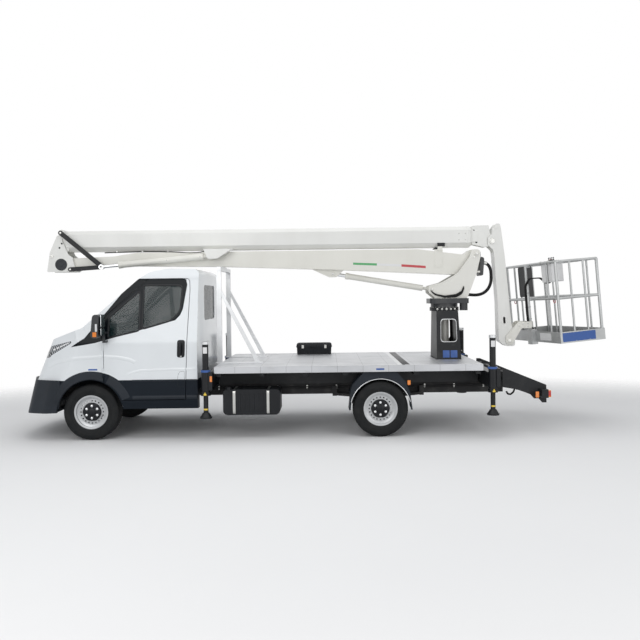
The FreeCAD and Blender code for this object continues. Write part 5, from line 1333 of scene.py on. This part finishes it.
@dataclass
class DeckTrim:
    """What lies on and under the deck: joint strips, bolts, a ribbed case, tank straps, pipes and side markers."""

    top: float = 890.0
    half: float = 1030.0
    edge_runs: Line = ((1640, 2880), (2900, 3960), (4080, 5070))
    tab: Line = ((3706, 829), (3812, 829), (3812, 851), (3706, 851))
    case_box: Line = ((2597, 3153), (807, 983), (890.6, 1065))
    case_steps: Line = (
        (0, 0.93), (0.03, 0.95), (0.60, 0.965), (0.62, 0.985), (0.69, 1.0), (0.72, 1.0), (0.73, 0.985), (0.76, 0.985),
        (0.90, 0.97), (0.97, 0.93), (1.0, 0.86),
    )
    markers: Table = (
        (1590, -1097, 745, 0.030, 0.074), (4134, -966, 655, 0.040, 0.060), (5811, -909, 471, 0.044, 0.078),
    )
    guard: Triple = (3765.0, 313.0, 394.0)

    def free(self, x: float, y: float) -> bool:
        """Whether a place on the deck is clear of the pedestal, the groove and the case."""
        pedestal, groove = 4540 < x < 5000 and abs(y) < 500, 3960 < x < 4160
        return not (pedestal or groove or (2560 < x < 3190 and y > 700))

    def strips(self) -> None:
        """The filler in the deck's groove, the black strip behind it, bright caps along the edges, and screws."""
        Form("deck_groove_filler", ALUMINIUM).block(row(4020, 0, self.top - 3.5), (0.0594, 1.98, 0.006), 0.002).done()
        ridge = np.linspace(0, 1, 41)
        lift = 1.5 + 2.2 * np.abs(np.sin(ridge * math.pi * 10))
        x, y = 4050 + 96 * ridge, np.array([-1000, -995, 995, 1000])[:, None]
        strip = Form("deck_cross_strip", TRIM_BLACK)
        strip.shell(row(x, y, self.top + np.outer([0.2, 1, 1, 0.2], lift)), row(x, y, self.top + 0.1)).done()
        caps = Form("deck_edge_caps", ALUMINIUM)
        for x0, x1 in self.edge_runs:
            caps.block(row((x0 + x1) / 2, 14 - self.half, self.top + 1.5), ((x1 - x0) / 1000, 0.026, 0.003), 0.002)
        caps.mirrored().done()
        heads = Form("deck_screws", ZINC, slot="aluminium_plate")
        for x in np.arange(1720, 5040, 220):
            for y in (-930, -300, 300, 930):
                if self.free(x, y):
                    heads.lathe([(-0.0005, 0.008), (0.0012, 0.0075), (0.0016, 0.004)], row(x, y, self.top + 0.2), UP, 8)
        heads.done()
        for side in Side:
            patch(f"deck_blue_tab_{side.word}", SIGN_BLUE, self.tab, side.value * (self.half + 0.2))

    def case(self) -> None:
        """The long case of spreader pads: a ribbed tub with a lid and rim, catches and a handle."""
        (x0, x1), (y0, y1), (z0, z1) = self.case_box
        middle, half = np.array([(x0 + x1) / 2, (y0 + y1) / 2]), np.array([(x1 - x0) / 2, (y1 - y0) / 2])
        ring = resample(oblong((-1, 1), (-1, 1), 0.16, 9), 240, closed=True)
        rib = 1 - 0.014 * (np.cos(np.arange(240) * TURN / 12) > 0.2)
        share, scale = np.array(self.case_steps).T[..., None]
        x, y = np.moveaxis(middle + ring * half * (scale * np.where(share < 0.58, rib, 1))[..., None], -1, 0)
        Form("pad_case_tub", TANK_PLASTIC).capped(row(x, y, z0 + (z1 - z0) * share)).done("pad_case", crease=30)
        catches = Form("pad_case_catches", ZINC, slot="aluminium_plate")
        for x in (2700, 3050):
            catches.block(row(x, y0 - 1.0, 1008), (0.034, 0.007, 0.05), 0.003)
        catches.done()
        spots = [row(2820, y0 + 3, 1015), row(2822, y0 - 16, 1012), row(2930, y0 - 16, 1012), row(2932, y0 + 3, 1015)]
        Form("pad_case_handle", TRIM_BLACK).tube(smooth_path(spots, 24), 0.006, 8).done()

    def tank(self) -> None:
        """Two straps round the fuel tank, and pressed ribs on its side."""
        bands = Form("tank_straps", ZINC, slot="aluminium_plate")
        outer, inner = oblong((-603, -968), (256, 590), 52, 8), oblong((-605, -965), (259, 587), 50, 8)
        for x in (1865, 2305):
            rings = [row(x + d, *line.T) for line, d in ((outer, -17), (outer, 17), (inner, 17), (inner, -17))]
            bands.grid(np.stack(rings), True, True)
        bands.done()
        ribs = Form("tank_ribs", TANK_PLASTIC)
        for x in np.arange(1935, 2270, 60):
            ribs.block(row(x, -961.5, 423), (0.022, 0.010, 0.22), 0.005)
        ribs.done()

    def pipes(self) -> None:
        """Brake and oil pipes clipped along the frame rails."""
        lines, x = Form("frame_pipes", HOSE), np.linspace(1500, 5280, 40)
        for y, z, radius in ((-508, 565, 0.007), (-508, 545, 0.005), (508, 560, 0.008)):
            lines.tube(smooth_path(row(x, y, z + 7 * np.sin(x / 260)), 160), radius, 8)
        lines.done()
        clips = Form("pipe_clips", ZINC, slot="aluminium_plate")
        for x in np.arange(1600, 5250, 400):
            clips.block(row(x, -502, 555), (0.02, 0.012, 0.05), 0.003)
        clips.done()

    def build(self) -> None:
        """Builds all of it, with the side marker lamps and the bright beads round the rear mudguards' edges."""
        self.strips()
        self.case()
        self.tank()
        self.pipes()
        for index, (x, y, z, wide, high) in enumerate(self.markers):
            Form(f"side_marker_{index}", AMBER).block(row(x, y, z), (wide, 0.012, high), 0.008).mirrored().done()
        x, z, radius = self.guard
        angle = np.radians(np.linspace(14, 166, 60))
        arc = row(x + radius * np.cos(angle), -976.5, z + radius * np.sin(angle))
        Form("mudguard_beads", ALUMINIUM).tube(arc, 0.0055, 8).mirrored().done()


@dataclass
class Jacks:
    """What dresses the four stabilisers: bright head caps, blank labels, rings and hose couplings."""

    across: float = 1050.0
    ends: Table = (("front", 1515.0, 1220.0), ("rear", 5200.0, 1262.0))
    cap: Line = (
        (-0.0338, 0.0451), (-0.033, 0.0462), (-0.001, 0.0462), (0.0, 0.0451), (-0.001, 0.0445), (-0.033, 0.0445),
    )
    ring: Line = ((-0.020, 0.0611), (-0.019, 0.0620), (0.008, 0.0620), (0.009, 0.0611))

    def band(self, form: Form, x: float, side: Side, heights: Pair, radius: float, spread: float) -> Form:
        """Adds a curved blank plate: part of a cylinder's wall between two heights.

        Args:
            form: the piece.
            x: the axis's place.
            side: which side, whose outside the plate faces.
            heights: lower and upper height.
            radius: of the wall.
            spread: how far it reaches each way round, in degrees.

        Returns:
            The form.
        """
        angle, y = np.radians(np.linspace(-spread, spread, 22) + side.value * 90), side.value * self.across
        outer, inner = (
            row(x + reach * np.cos(angle), y + reach * np.sin(angle), np.linspace(*heights, 4)[:, None])
            for reach in (radius + 0.9, radius + 0.1)
        )
        return form.shell(outer, inner)

    def dress(self, word: str, side: Side, x: float, head: float) -> None:
        """A cap, two labels, a ring, a low label and two couplings with their hose on one jack.

        Args:
            word: the jack's end and side.
            side: which side.
            x: its place along the truck.
            head: its height.
        """
        y, inward = side.value * self.across, -side.value
        Form(f"jack_cap_{word}", ALUMINIUM).lathe(self.cap, row(x, y, head), UP, 48, hollow=True).done()
        self.band(Form(f"jack_label_{word}", SIGN_WHITE), x, side, (head - 148, head - 69), 40, 42).done()
        Form(f"jack_ring_{word}", SIGN_BLUE).lathe(self.ring, row(x, y, 850), UP, 48, hollow=True).done()
        mark = Form(f"jack_sign_{word}", SIGN_YELLOW)
        self.band(mark, x, side, (556, 574), 64, 7)
        self.band(mark, x, side, (538, 556), 64, 16).done()
        foot = Form(f"jack_foot_label_{word}", SIGN_YELLOW, f"jack_leg_{word}")
        self.band(foot, x, side, (344, 364), 31, 55).done()
        port = Form(f"jack_port_{word}", ZINC, slot="aluminium_plate")
        for z, reach in ((head - 40, 39), (905, 38)):
            nut = [(0, 0.011), (0.010, 0.011), (0.011, 0.008), (0.026, 0.008)]
            port.lathe(nut, row(x, y + inward * reach, z), (0, inward, 0), 6)
        port.done()
        way = ((0, 62, head - 40), (0, 88, head - 62), (4, 96, head - 190), (6, 92, 960), (4, 110, 900), (0, 200, 870))
        hose = smooth_path([row(x + along, y + inward * reach, z) for along, reach, z in way], 60)
        Form(f"jack_pipe_{word}", HOSE).tube(hose, 0.008).done()

    def build(self) -> None:
        """Dresses all four."""
        for end, x, head in self.ends:
            for side in Side:
                self.dress(f"{end}_{side.word}", side, x, head)


# lift


@dataclass
class LiftTrim:
    """Bolts, caps, valves, pipes, stripes and slide pads on the pedestal, the turret and the booms."""

    sleeve: Pair = (0.0622, 0.0632)
    wall_foot: float = 300.0
    wall_low: float = 800.3
    wall_lean: float = 60 / 759.7
    slew: Triple = (4760.0, 198.0, 1610.3)
    flange: Pair = (205.0, 1586.0)
    pin: Line = ((0, 0.022), (0.003, 0.021), (0.004, 0.006))
    stripes: Table = (
        ("green", STRIPE_GREEN, ((3461, 2228), (3797, 2212), (3797, 2243), (3461, 2258))),
        ("white", SIGN_WHITE, ((3797, 2212), (4145, 2192), (4145, 2226), (3797, 2243))),
        ("red", STRIPE_RED, ((4145, 2192), (4488, 2166), (4488, 2200), (4145, 2226))),
    )
    links: Table = (
        ("elbow_link", (-530, 2208), (-70, 2236), -165.2, 21), ("elbow_lever", (-650, 2722), (-70, 2236), -187.2, 22),
    )
    collars: Table = (("upper_boom", 5096.0, 0.0), ("upper_mid", 5134.0, 20.0))
    tilt: tuple[Pair, Pair] = ((1472.0, 2372.0), (-30.0, 2236.0))

    def wall(self, outline: np.ndarray, steps: Sequence[Pair]) -> np.ndarray:
        """Rings on the near wall of the pedestal, which leans inwards as it rises.

        Args:
            outline: places (x, z).
            steps: for each ring, its scale about the outline's middle and how far it stands out.

        Returns:
            The rings.
        """
        rings, middle = [], outline.mean(axis=0)
        for scale, lift in steps:
            x, z = (middle + (outline - middle) * scale).T
            rings.append(row(x, self.wall_lean * (z - self.wall_low) - self.wall_foot - lift, z))
        return np.stack(rings)

    def pedestal(self) -> None:
        """A bolted flange round the pedestal's top, bright edges round its windows, and blank blue plates."""
        (x, reach, z), angle = self.slew, np.linspace(0, TURN, 25)[:-1]
        places = row(x + reach * np.cos(angle), reach * np.sin(angle), z)
        Form("slew_ring_bolts", ZINC, slot="aluminium_plate").bolts(places, UP, 0.006).done()
        radius, high = self.flange
        across = np.array([-120, -60, 0, 60, 120])
        places = row(x + across, -np.sqrt(radius**2 - across**2), high)
        Form("pedestal_flange_bolts", ZINC, slot="aluminium_plate").bolts(places, NEAR, 0.011).mirrored().done()
        window = rounded([(4668, 1135, 50), (4888, 1135, 50), (4880, 1442, 50), (4673, 1442, 50)], 8)
        edge = self.wall(window, ((1.0, 0.2), (1.0, 1.8), (1.045, 1.8), (1.055, 0.2)))
        Form("pedestal_window_edges", ALUMINIUM).grid(edge, True, True).mirrored().done()
        for index, spread in enumerate(((4690, 4782), (4796, 4890))):
            plate = self.wall(oblong(spread, (912, 1012), 6, 4), ((0.99, 0.1), (1.0, 0.6), (1.0, 1.2), (0.99, 1.6)))
            Form(f"pedestal_blue_plate_{index}", SIGN_BLUE).capped(plate).done()
        inner, outer = self.sleeve
        core = [(0.0, inner), (0.001, outer), (0.56, outer), (0.561, inner)]
        Form("manifold_sleeve", CREAM).lathe(core, row(x, 0, 960), UP, 64, hollow=True).done()

    def turret(self) -> None:
        """Turntable bolts, pin retainers and beads on the side plates, and a valve block with pipes."""
        places = row(np.arange(4600, 5001, 80), -195, 1735)
        Form("turntable_bolts", ZINC, "turret").bolts(places, UP, 0.010).mirrored().done()
        caps = Form("turret_pin_caps", ZINC, "turret")
        ring = [(0, 0.024), (0.004, 0.024), (0.006, 0.020), (0.006, 0.008), (0.003, 0.006)]
        caps.lathe(ring, row(5190, -186, 2362), NEAR, 28).bolts(row(5190, -192, 2362), NEAR, 0.006)
        caps.lathe([(0, 0.018), (0.004, 0.017), (0.005, 0.006)], row(4560, -180, 1868), NEAR)
        keeper = rounded([(5140, 2300, 8), (5176, 2300, 8), (5176, 2328, 6), (5140, 2328, 6)], 4)
        caps.slab(plan(keeper), "y", -0.1775, -0.1725, 0.001).mirrored().done()
        seam = track(((4545, 1905), (4700, 1942), (4920, 2070), (5040, 2220), (5100, 2320)), -172.2, 50)
        Form("turret_plate_beads", CREAM, "turret").tube(seam, 0.0022, 6).mirrored().done()
        block = Form("slew_valve_block", ZINC, "turret").block(row(4820, -70, 1762), (0.11, 0.09, 0.05))
        block.bolts(row([[4782], [4858]], [-100, -40], 1787), UP, 0.005).done()
        pipes = Form("slew_pipes", HOSE, "turret")
        for lift in (0, 16, 32):
            way = (
                (4548 + lift, -186, 1846 - lift), (4600 + lift, -190, 1790), (4740, -189, 1752 + lift / 2),
                (4900, -189, 1756 + lift), (4980, -187, 1800 + lift), (5010, -180, 1870 + lift),
            )
            pipes.tube(smooth_path(row(*np.transpose(way)), 60), 0.0075, 8)
        for index, y in enumerate((-92, -70, -48)):
            way = (
                (4866, y, 1762 + 4 * index), (4920, y, 1775), (4965, y + 10, 1850), (5010, y + 14, 1960),
                (5060, y + 14, 2060),
            )
            pipes.tube(smooth_path(row(*np.transpose(way)), 40), 0.007, 8)
        pipes.done()

    def lower(self) -> None:
        """Three blank stripes, the boom's rest bracket with its pads, beads along the edges and a pin's bolts."""
        for name, finish, outline in self.stripes:
            for side in Side:
                label, y = f"boom_stripe_{name}_{side.word}", side.value * 105.1
                patch(label, finish, outline, y, 0.7, 0.0, "lower_boom", "cream_paint")
        rest = Form("boom_rest_bracket", CREAM, "lower_boom")
        plate = plan(rounded([(4606, 2180, 14), (4725, 2180, 14), (4731, 2430, 10), (4612, 2430, 10)], 4))
        rest.slab(plate, "y", -0.1115, -0.1052, 0.001)
        rest.bolts(row([[4632], [4700]], -111.5, [2215, 2300, 2385]), NEAR, 0.008)
        rest.block(row(4690, -124.2, 2452), (0.070, 0.005, 0.076))
        rest.block(row(4690, -117.5, 2420), (0.070, 0.014, 0.020), 0.002).done()
        pads = Form("boom_rest_pad", TRIM_BLACK, "lower_boom")
        pads.block(row(4706, -124.4, 2496), (0.106, 0.0068, 0.050))
        pads.block(row(4668, 0, 2444.5), (0.104, 0.17, 0.013)).done()
        line = track(((-600, 2232), (100, 2257), (1560, 2232), (3200, 2167), (4700, 2092)), -105.2, 120)
        Form("lower_boom_beads", CREAM, "lower_boom").tube(line, 0.0020, 6).mirrored().done()
        gusset = Form("lift_gusset_bolts", ZINC, "lower_boom")
        gusset.bolts(row(3171, -54, 2105), NEAR, 0.012).mirrored().done()

    def elbow(self) -> None:
        """Grey discs with their screws, a valve block, and caps and rims on the link and the lever."""
        for side in Side:
            disc = Form(f"elbow_disc_{side.word}", CABIN_GREY, "elbow_head", "black_steel")
            centre = row(-660, side.value * 149, 2278)
            disc.lathe([(0, 0.084), (0.004, 0.084), (0.007, 0.080), (0.007, 0.052), (0.004, 0.049), (0.004, 0.030),
                        (0.009, 0.027), (0.010, 0.020)], centre, side.out, 48)
            angle = np.linspace(0, TURN, 7)[:-1] + 0.3
            places = np.stack([0.066 * np.cos(angle), np.full(6, side.value * 0.0068), 0.066 * np.sin(angle)], 1)
            disc.bolts(centre + places, side.out, 0.006).done()
        holes = Form("elbow_plate_plugs", TRIM_BLACK, "elbow_head")
        for x, z in ((-682, 2515), (-648, 2575)):
            holes.lathe([(0, 0.013), (0.0015, 0.013), (0.002, 0.009)], row(x, -143, z), NEAR, 20)
        holes.mirrored().done()
        small = [(0, 0.012), (0.003, 0.0115), (0.004, 0.004)]
        caps = Form("elbow_pin_caps", ZINC, "elbow_head").lathe(self.pin, row(-790, -151, 2395), NEAR).mirrored()
        caps.lathe(small, row(-530, -168, 2208), NEAR, 20).done()
        head = [(0, 0.014), (0.003, 0.0135), (0.004, 0.004)]
        Form("lever_pin_cap", ZINC, "upper_boom").lathe(head, row(-650, -192, 2722), NEAR, 20).done()
        shaft = [
            (-0.040, 0.010), (-0.039, 0.0152), (-0.0005, 0.0152), (0.0, 0.026), (0.006, 0.026), (0.008, 0.022),
            (0.008, 0.009),
        ]
        Form("link_lever_pin", ZINC, "elbow_lever").lathe(shaft, row(-70, -187.5, 2236), NEAR, 28).done()
        for body, *ends, y, half in self.links:
            start, end = np.array(ends, float)
            length, along = np.linalg.norm(end - start), unit(end - start)
            flat = oblong((44, length - 44), (-half, half), 12)
            spots = start + flat[:, :1] * along + flat[:, 1:] * along[::-1] * (-1, 1)
            Form(f"{body}_rim", STEEL_BLACK, body).loop(upright(spots, y), 0.0022).done()
        Form("elbow_valve_block", ZINC, "elbow_head").block(row(-540, -108, 2350), (0.060, 0.030, 0.075)).done()

    def upper(self) -> None:
        """Slide-ring collars at the sections' mouths, a cable under the boom, screws along it and end plugs."""
        for body, x, inset in self.collars:
            low, high, half = 2458 + inset, 2752 - inset, 120 - inset
            right = ((0.5, low), (1, low + 62), (1, high - 52), (0.72, high))
            section = rounded([(u * half, v, 12) for u, v in (*right, *((-u, v) for u, v in right[::-1]))], 4)
            middle = section.mean(axis=0)
            rings = [row(x + off, *(middle + (section - middle) * grow).T)
                     for off, grow in ((-26, 1.002), (-24, 1.018), (0, 1.018), (2, 1.002))]
            Form(f"{body}_collar", BOOM_WHITE, body).grid(np.stack(rings), True, True).done()
        plugs = Form("boom_end_plugs", TRIM_BLACK, "upper_inner")
        for x, z in ((5180, 2690), (5215, 2530)):
            plugs.lathe([(-0.0005, 0.016), (0.003, 0.016), (0.005, 0.012)], row(x, -72, z), NEAR, 20)
        plugs.mirrored().done()
        places = row([[4960], [5050]], -120, [2560, 2650])
        Form("slide_pad_screws", ZINC, "upper_boom").bolts(places, NEAR, 0.007).mirrored().done()
        way = (
            (-56, 2440), (247, 2446), (490, 2449), (753, 2446), (975, 2436), (1150, 2424), (1290, 2430), (1360, 2445),
        )
        Form("boom_cable", HOSE, "upper_boom").tube(track(way, -100, 90), 0.0075, 8).done()
        clips = Form("cable_clips", ZINC, "upper_boom")
        for x in (120, 480, 840):
            clips.block(row(x, -100, 2452), (0.018, 0.026, 0.018), 0.003)
        clips.done()
        ports, (start, end) = Form("tilt_cylinder_ports", ZINC, "tilt_cylinder"), np.array(self.tilt)
        for reach in (150.0, 620.0):
            x, z = start + unit(end - start) * reach
            ports.lathe([(0, 0.012), (0.012, 0.012), (0.013, 0.008), (0.024, 0.008)], row(x, -240, z), NEAR, 6)
        ports.done()

    def jib(self) -> None:
        """Caps on the jib's pins, a bead along its rear edge and a rim round its slots."""
        caps = Form("jib_pin_caps", ZINC, "jib")
        caps.lathe([(0, 0.023), (0.003, 0.022), (0.004, 0.006)], row(5430, -106, 2540), NEAR)
        caps.lathe(self.pin, row(5660, -126, 1125), NEAR)
        washer = [(-0.006, 0.044), (0.002, 0.044), (0.004, 0.040), (0.004, 0.027)]
        caps.lathe(washer, row(5430, -100, 2540), NEAR, 32).mirrored().done()
        rear = track(((5726, 1230), (5688, 1360), (5648, 1810), (5604, 2300), (5556, 2680)), -98.2, 60)
        Form("jib_edge_beads", BOOM_WHITE, "jib", "cream_paint").tube(rear, 0.0022, 6).mirrored().done()
        slot = rounded([(5585, 1372, 12), (5611, 1372, 12), (5606, 1460, 12), (5580, 1460, 12)], 5)
        Form("jib_slot_rims", STEEL_BLACK, "jib").loop(upright(slot, -98.5), 0.0025).mirrored().done()

    def build(self) -> None:
        """Builds all of it, with the hook under the tail frame."""
        self.pedestal()
        self.turret()
        self.lower()
        self.elbow()
        self.upper()
        self.jib()
        hook = track(((5760, 430), (5740, 380), (5700, 348), (5660, 356), (5640, 392)), 0, 40)
        Form("tail_hook", GEAR_BLACK).tube(hook, 0.013, 12).done()


# basket


@dataclass
class BasketTrim:
    """What dresses the basket: a mat, blank signs, a front panel, the control desk, a gate, and its mast's hoses."""

    mast: Triple = (6010.0, 0.0, 1098.0)
    lean: float = -4.5
    yaw: float = 12.0
    deck: float = 24.3
    plates: Table = (
        ("basket_blue_sign", SIGN_BLUE, "", oblong((70, 560), (18, 138), 8), "y", -723.6, -722.2, 0.4),
        ("basket_front_plate", SIGN_WHITE, "", oblong((-180, -480), (30, 130), 8), "x", 38.4, 39.8, 0.4),
        ("basket_front_panel", TRIM_BLACK, "",
         rounded([(-10, 640, 30), (400, 640, 30), (400, 1086, 50), (-10, 1086, 50)]), "x", 88, 93, 1.2),
        ("control_lid", CABIN_GREY, "grey_case", oblong((100, 242), (-545, -305), 20, 6), "z", 1115.4, 1121.5, 2.0),
        ("control_face_plate", SIGN_WHITE, "", oblong((-540, -310), (856, 1092), 14), "x", 82.4, 84.1, 0.5),
    )
    turned: Table = (
        ("basket_feet", BASKET_METAL, "", ((0, 30), (3, 30), (6, 23), (14, 20.5)), UP, 16,
         (66, 270, 474, 678), (-696, 696), (24,)),
        ("front_panel_screws", ZINC, "", ((0, 9), (3, 8.5), (4.5, 5)), (1, 0, 0), 10,
         (93.5,), (20, 370), (670, 860, 1050)),
        ("control_boots", HOSE, "hose_rubber",
         ((0, 14), (3, 14.5), (6, 11.5), (9, 12), (12, 9), (15, 9), (18, 6.5), (21, 5)), UP, 16,
         (150,), (-520, -478, -436, -394), (1121.4,)),
        ("control_grips", TRIM_BLACK, "",
         ((0, 3.4), (10, 3.2), (12, 6.5), (15, 8.2), (20, 8.6), (25, 7.8), (28, 5), (29.5, 1)), (0.05, 0, 1), 14,
         (150,), (-520, -478, -436, -394), (1139,)),
        ("control_keys", ZINC, "", ((0, 7), (2.5, 7), (4, 4)), UP, 12,
         (196, 222), (-520, -480, -440, -400), (1121.4,)),
        ("control_clamps", ZINC, "", ((0, 25), (12, 25), (14, 23)), (0, 1, 0), 20, (66,), (-536, -326), (1100,)),
        ("stop_button", STRIPE_RED, "", ((0, 9), (8, 9), (9, 18), (15, 20), (20, 18.5), (23, 12), (24, 1)), UP, 28,
         (212,), (-334,), (1121.4,)),
        ("stop_button_collar", SIGN_YELLOW, "", ((0, 27), (2, 27), (3, 25)), UP, 28, (212,), (-334,), (1121.3,)),
    )

    def put(self, form: Form, crease: float = 35.0) -> None:
        """Ends a form that was drawn in millimetres in the basket's own frame.

        It is turned about the mast, leaned, and stood on the mast's foot.

        Args:
            form: the form.
            crease: edges sharper than this many degrees stay sharp.
        """
        turn = Matrix.Rotation(math.radians(self.lean), 3, "Y") @ Matrix.Rotation(math.radians(self.yaw), 3, "Z")
        form.points = [points @ np.array(turn).T / 1000 + row(*self.mast) for points in form.points]
        form.body = "basket"
        form.done(crease=crease)

    def floor(self) -> None:
        """A rubber mat with raised bars across and low edges."""
        u, v = np.linspace(52, 694, 161)[:, None], np.array([-708.0, -704, -700, 700, 704, 708])
        rise = (1.6 + 1.5 * (np.cos(u / 8.0 * math.pi) > 0)) * (0, 1, 1, 1, 1, 0)
        upper, under = (np.stack(np.broadcast_arrays(u, v, z), -1) for z in (self.deck + rise, self.deck - 0.1))
        self.put(Form("basket_mat", HOSE, slot="hose_rubber").shell(upper, under), crease=25)

    def parts(self) -> None:
        """Blank plates, the panel and its screws, the desk with its levers and keys, feet, and rims and seams."""
        for name, finish, slot, outline, *ends in self.plates:
            self.put(Form(name, finish, slot=slot).slab(outline, *ends))
        for name, finish, slot, profile, axis, sides, *where in self.turned:
            form = Form(name, finish, slot=slot)
            for place in itertools.product(*where):
                form.lathe(profile, place, axis, sides)
            self.put(form)
        kicks = ((42, -720, 150), (702, -720, 150), (702, 720, 150), (42, 720, 150), (42, -720, 150))
        self.put(Form("kick_plate_rims", BASKET_METAL).tube(resample(np.array(kicks, float), 240), 3.2, 6))
        seam = np.insert(oblong((84, 254.5), (-560, -290), 8), 2, 1078, axis=1)
        self.put(Form("control_seam", TRIM_BLACK).loop(seam, 1.6))

    def hoses(self) -> None:
        """Hoses that leave the carrier, climb the mast and end under the desk, with ties round the bundle."""
        lines = Form("mast_hoses", HOSE, slot="hose_rubber")
        for index, (x, y) in enumerate(((-30, -16), (-34, 2), (-28, 20))):
            way = (
                (20, y - 40, 190), (x + 4, y, 240), (x - 3, y, 420), (x + 2, y + 3, 610), (x, y - 8, 800),
                (x + 30, y - 90, 905), (74, -240 - 16 * index, 900), (120 + 20 * index, -330, 815),
                (128 + 20 * index, -360, 829),
            )
            lines.tube(smooth_path(way, 110), 9.0)
        self.put(lines)
        ties = Form("hose_ties", TRIM_BLACK)
        loop = rounded([(-46, -32, 18), (30, -32, 26), (30, 32, 26), (-46, 32, 18)], 5)
        for z in (330, 500, 700):
            ties.loop(np.insert(loop, 2, z, axis=1), 2.4)
        self.put(ties)

    def gate(self) -> None:
        """Sleeves of the gate's bar on the rear rail, and eyes for harnesses inside."""
        latch, along = Form("basket_gate_latch", ZINC), (0, 1, 0)
        latch.lathe([(-30, 11), (-28, 13), (28, 13), (30, 11)], (676, 0, 1100), along, 16)
        for y in (-232, 232):
            latch.lathe([(-24, 11), (-22, 20.5), (22, 20.5), (24, 11)], (676, y, 1100), along, 16)
        self.put(latch)
        eyes, angle = Form("harness_eyes", STRIPE_RED), np.linspace(0, TURN, 21)
        for y in (-560, 560):
            eyes.tube(np.stack([88 + 0 * angle, y + 26 * np.cos(angle), 570 + 26 * np.sin(angle)], 1), 5, 8)
        self.put(eyes)

    def build(self) -> None:
        """Builds all of it, with the carrier's bolts and hose clip."""
        self.floor()
        self.parts()
        self.hoses()
        self.gate()
        places = row([5800, 5860, 5925, 5925], -118, [1335, 1365, 1365, 1325])
        Form("carrier_bolts", ZINC, "basket_carrier").bolts(places, NEAR, 0.010).mirrored().done()
        clip = Form("carrier_hose_clip", TRIM_BLACK, "basket_carrier")
        clip.block(row(5890, -60, 1394), (0.06, 0.09, 0.012)).done()


# the picture


def stand(item: bpy.types.Object, place: Triple, back: np.ndarray, right: np.ndarray) -> None:
    """Sets an object down so that its own z points back and its own x points right."""
    matrix = np.eye(4)
    matrix[:3] = np.stack([right, np.cross(back, right), back, place], 1)
    item.matrix_world = Matrix(matrix.tolist())


@dataclass(frozen=True)
class Studio:
    """Camera, lamps, floor and backdrop."""

    place: Triple = (0.2117, -9.9563, 1.8257)
    yaw: float = -0.0023
    pitch: float = -0.0133
    roll: float = -0.0123
    lens: float = 39.098
    shift: Pair = (-0.0091, -0.0215)
    lamps: Table = (
        ("sky", (0.0, -1.0, 9.0), (0.0, 0.0, 1.0), 300.0, 9.0),
        ("key", (-4.0, -9.0, 5.0), (0.0, 0.0, 1.4), 210.0, 5.0),
        ("fill", (6.0, -8.0, 3.0), (1.0, 0.0, 1.2), 110.0, 5.0),
    )

    def camera(self) -> None:
        """Stands the camera on the driver's side, turned as in the photograph."""
        data = bpy.data.cameras.new("camera")
        data.sensor_width, data.lens, data.clip_end = 36.0, self.lens, 200.0
        data.shift_x, data.shift_y = self.shift
        flat = math.cos(self.pitch)
        look = np.array([math.sin(self.yaw) * flat, math.cos(self.yaw) * flat, math.sin(self.pitch)])
        right = unit(np.cross(look, UP))
        turned = right * math.cos(self.roll) + np.cross(right, look) * math.sin(self.roll)
        bpy.context.scene.camera = added("camera", data)
        stand(bpy.context.scene.camera, self.place, -look, turned)

    def floor(self) -> None:
        """Lays a pale floor that runs out far past the picture and fades into the backdrop with distance."""
        s = Shader(bpy.data.materials.new("studio_floor"))
        cloud = s.noise(1.1, 4.0)
        tone = s.blend(cloud.step(0.3, 0.8) * 0.2, (0.93, 0.93, 0.93), (0.90, 0.90, 0.90))
        x, y = s.axis("X") * 0.11, (s.axis("Y") + 1.0) * 0.17
        far = (x * x + y * y).step(0.45, 1.6)
        s.surface(Base_Color=tone, Roughness=cloud * 0.1 + 0.7, Specular_IOR_Level=0.1, Alpha=1.0 - far)
        reach = np.linspace(-26, 26, 13)
        points = np.stack(np.broadcast_arrays(reach[:, None], reach, -0.0005), -1).reshape(-1, 3)
        mesh = bpy.data.meshes.new("floor")
        mesh.from_pydata(points.tolist(), [], grid_faces(13, 13, False, False).tolist())
        mesh.materials.append(s.owner)
        item = added("floor", mesh)

    def world(self) -> None:
        """White where rays see the backdrop, and a soft grey that lights the object elsewhere."""
        world = bpy.context.scene.world = bpy.data.worlds.new("studio")
        s = Shader(world, "ShaderNodeOutputWorld")
        camera, glossy, through = (
            s.node("ShaderNodeLightPath", {}, {}, f"Is {name} Ray") for name in ("Camera", "Glossy", "Transmission")
        )
        soft, white = (
            s.node("ShaderNodeBackground", {}, {"Color": colour, "Strength": strength})
            for colour, strength in (((0.95, 0.97, 1.0), 0.45), ((1.0, 1.0, 1.0), 1.0))
        )
        s.end(s.node("ShaderNodeMixShader", {}, {0: camera.larger(glossy).larger(through), 1: soft, 2: white}))

    def build(self) -> None:
        """Sets up the whole picture."""
        self.camera()
        self.floor()
        self.world()
        for name, place, aim, power, size in self.lamps:
            data = bpy.data.lights.new(name, "AREA")
            data.energy, data.size = power, size
            back = unit(np.subtract(place, aim))
            stand(added(name, data), place, back, unit(np.cross(UP, back)))
        bpy.context.scene.view_settings.view_transform = "Standard"


def main() -> None:
    """Builds the picture, the finishes and every added piece, in order."""
    logging.basicConfig(level=logging.INFO, format="%(name)s: %(message)s")
    Studio().build()
    paint_nodes()
    for maker in (TurretHose(), Seats(), CabTrim(), Wheels(), DeckTrim(), Jacks(), LiftTrim(), BasketTrim()):
        maker.build()


if __name__ == "__main__":
    main()
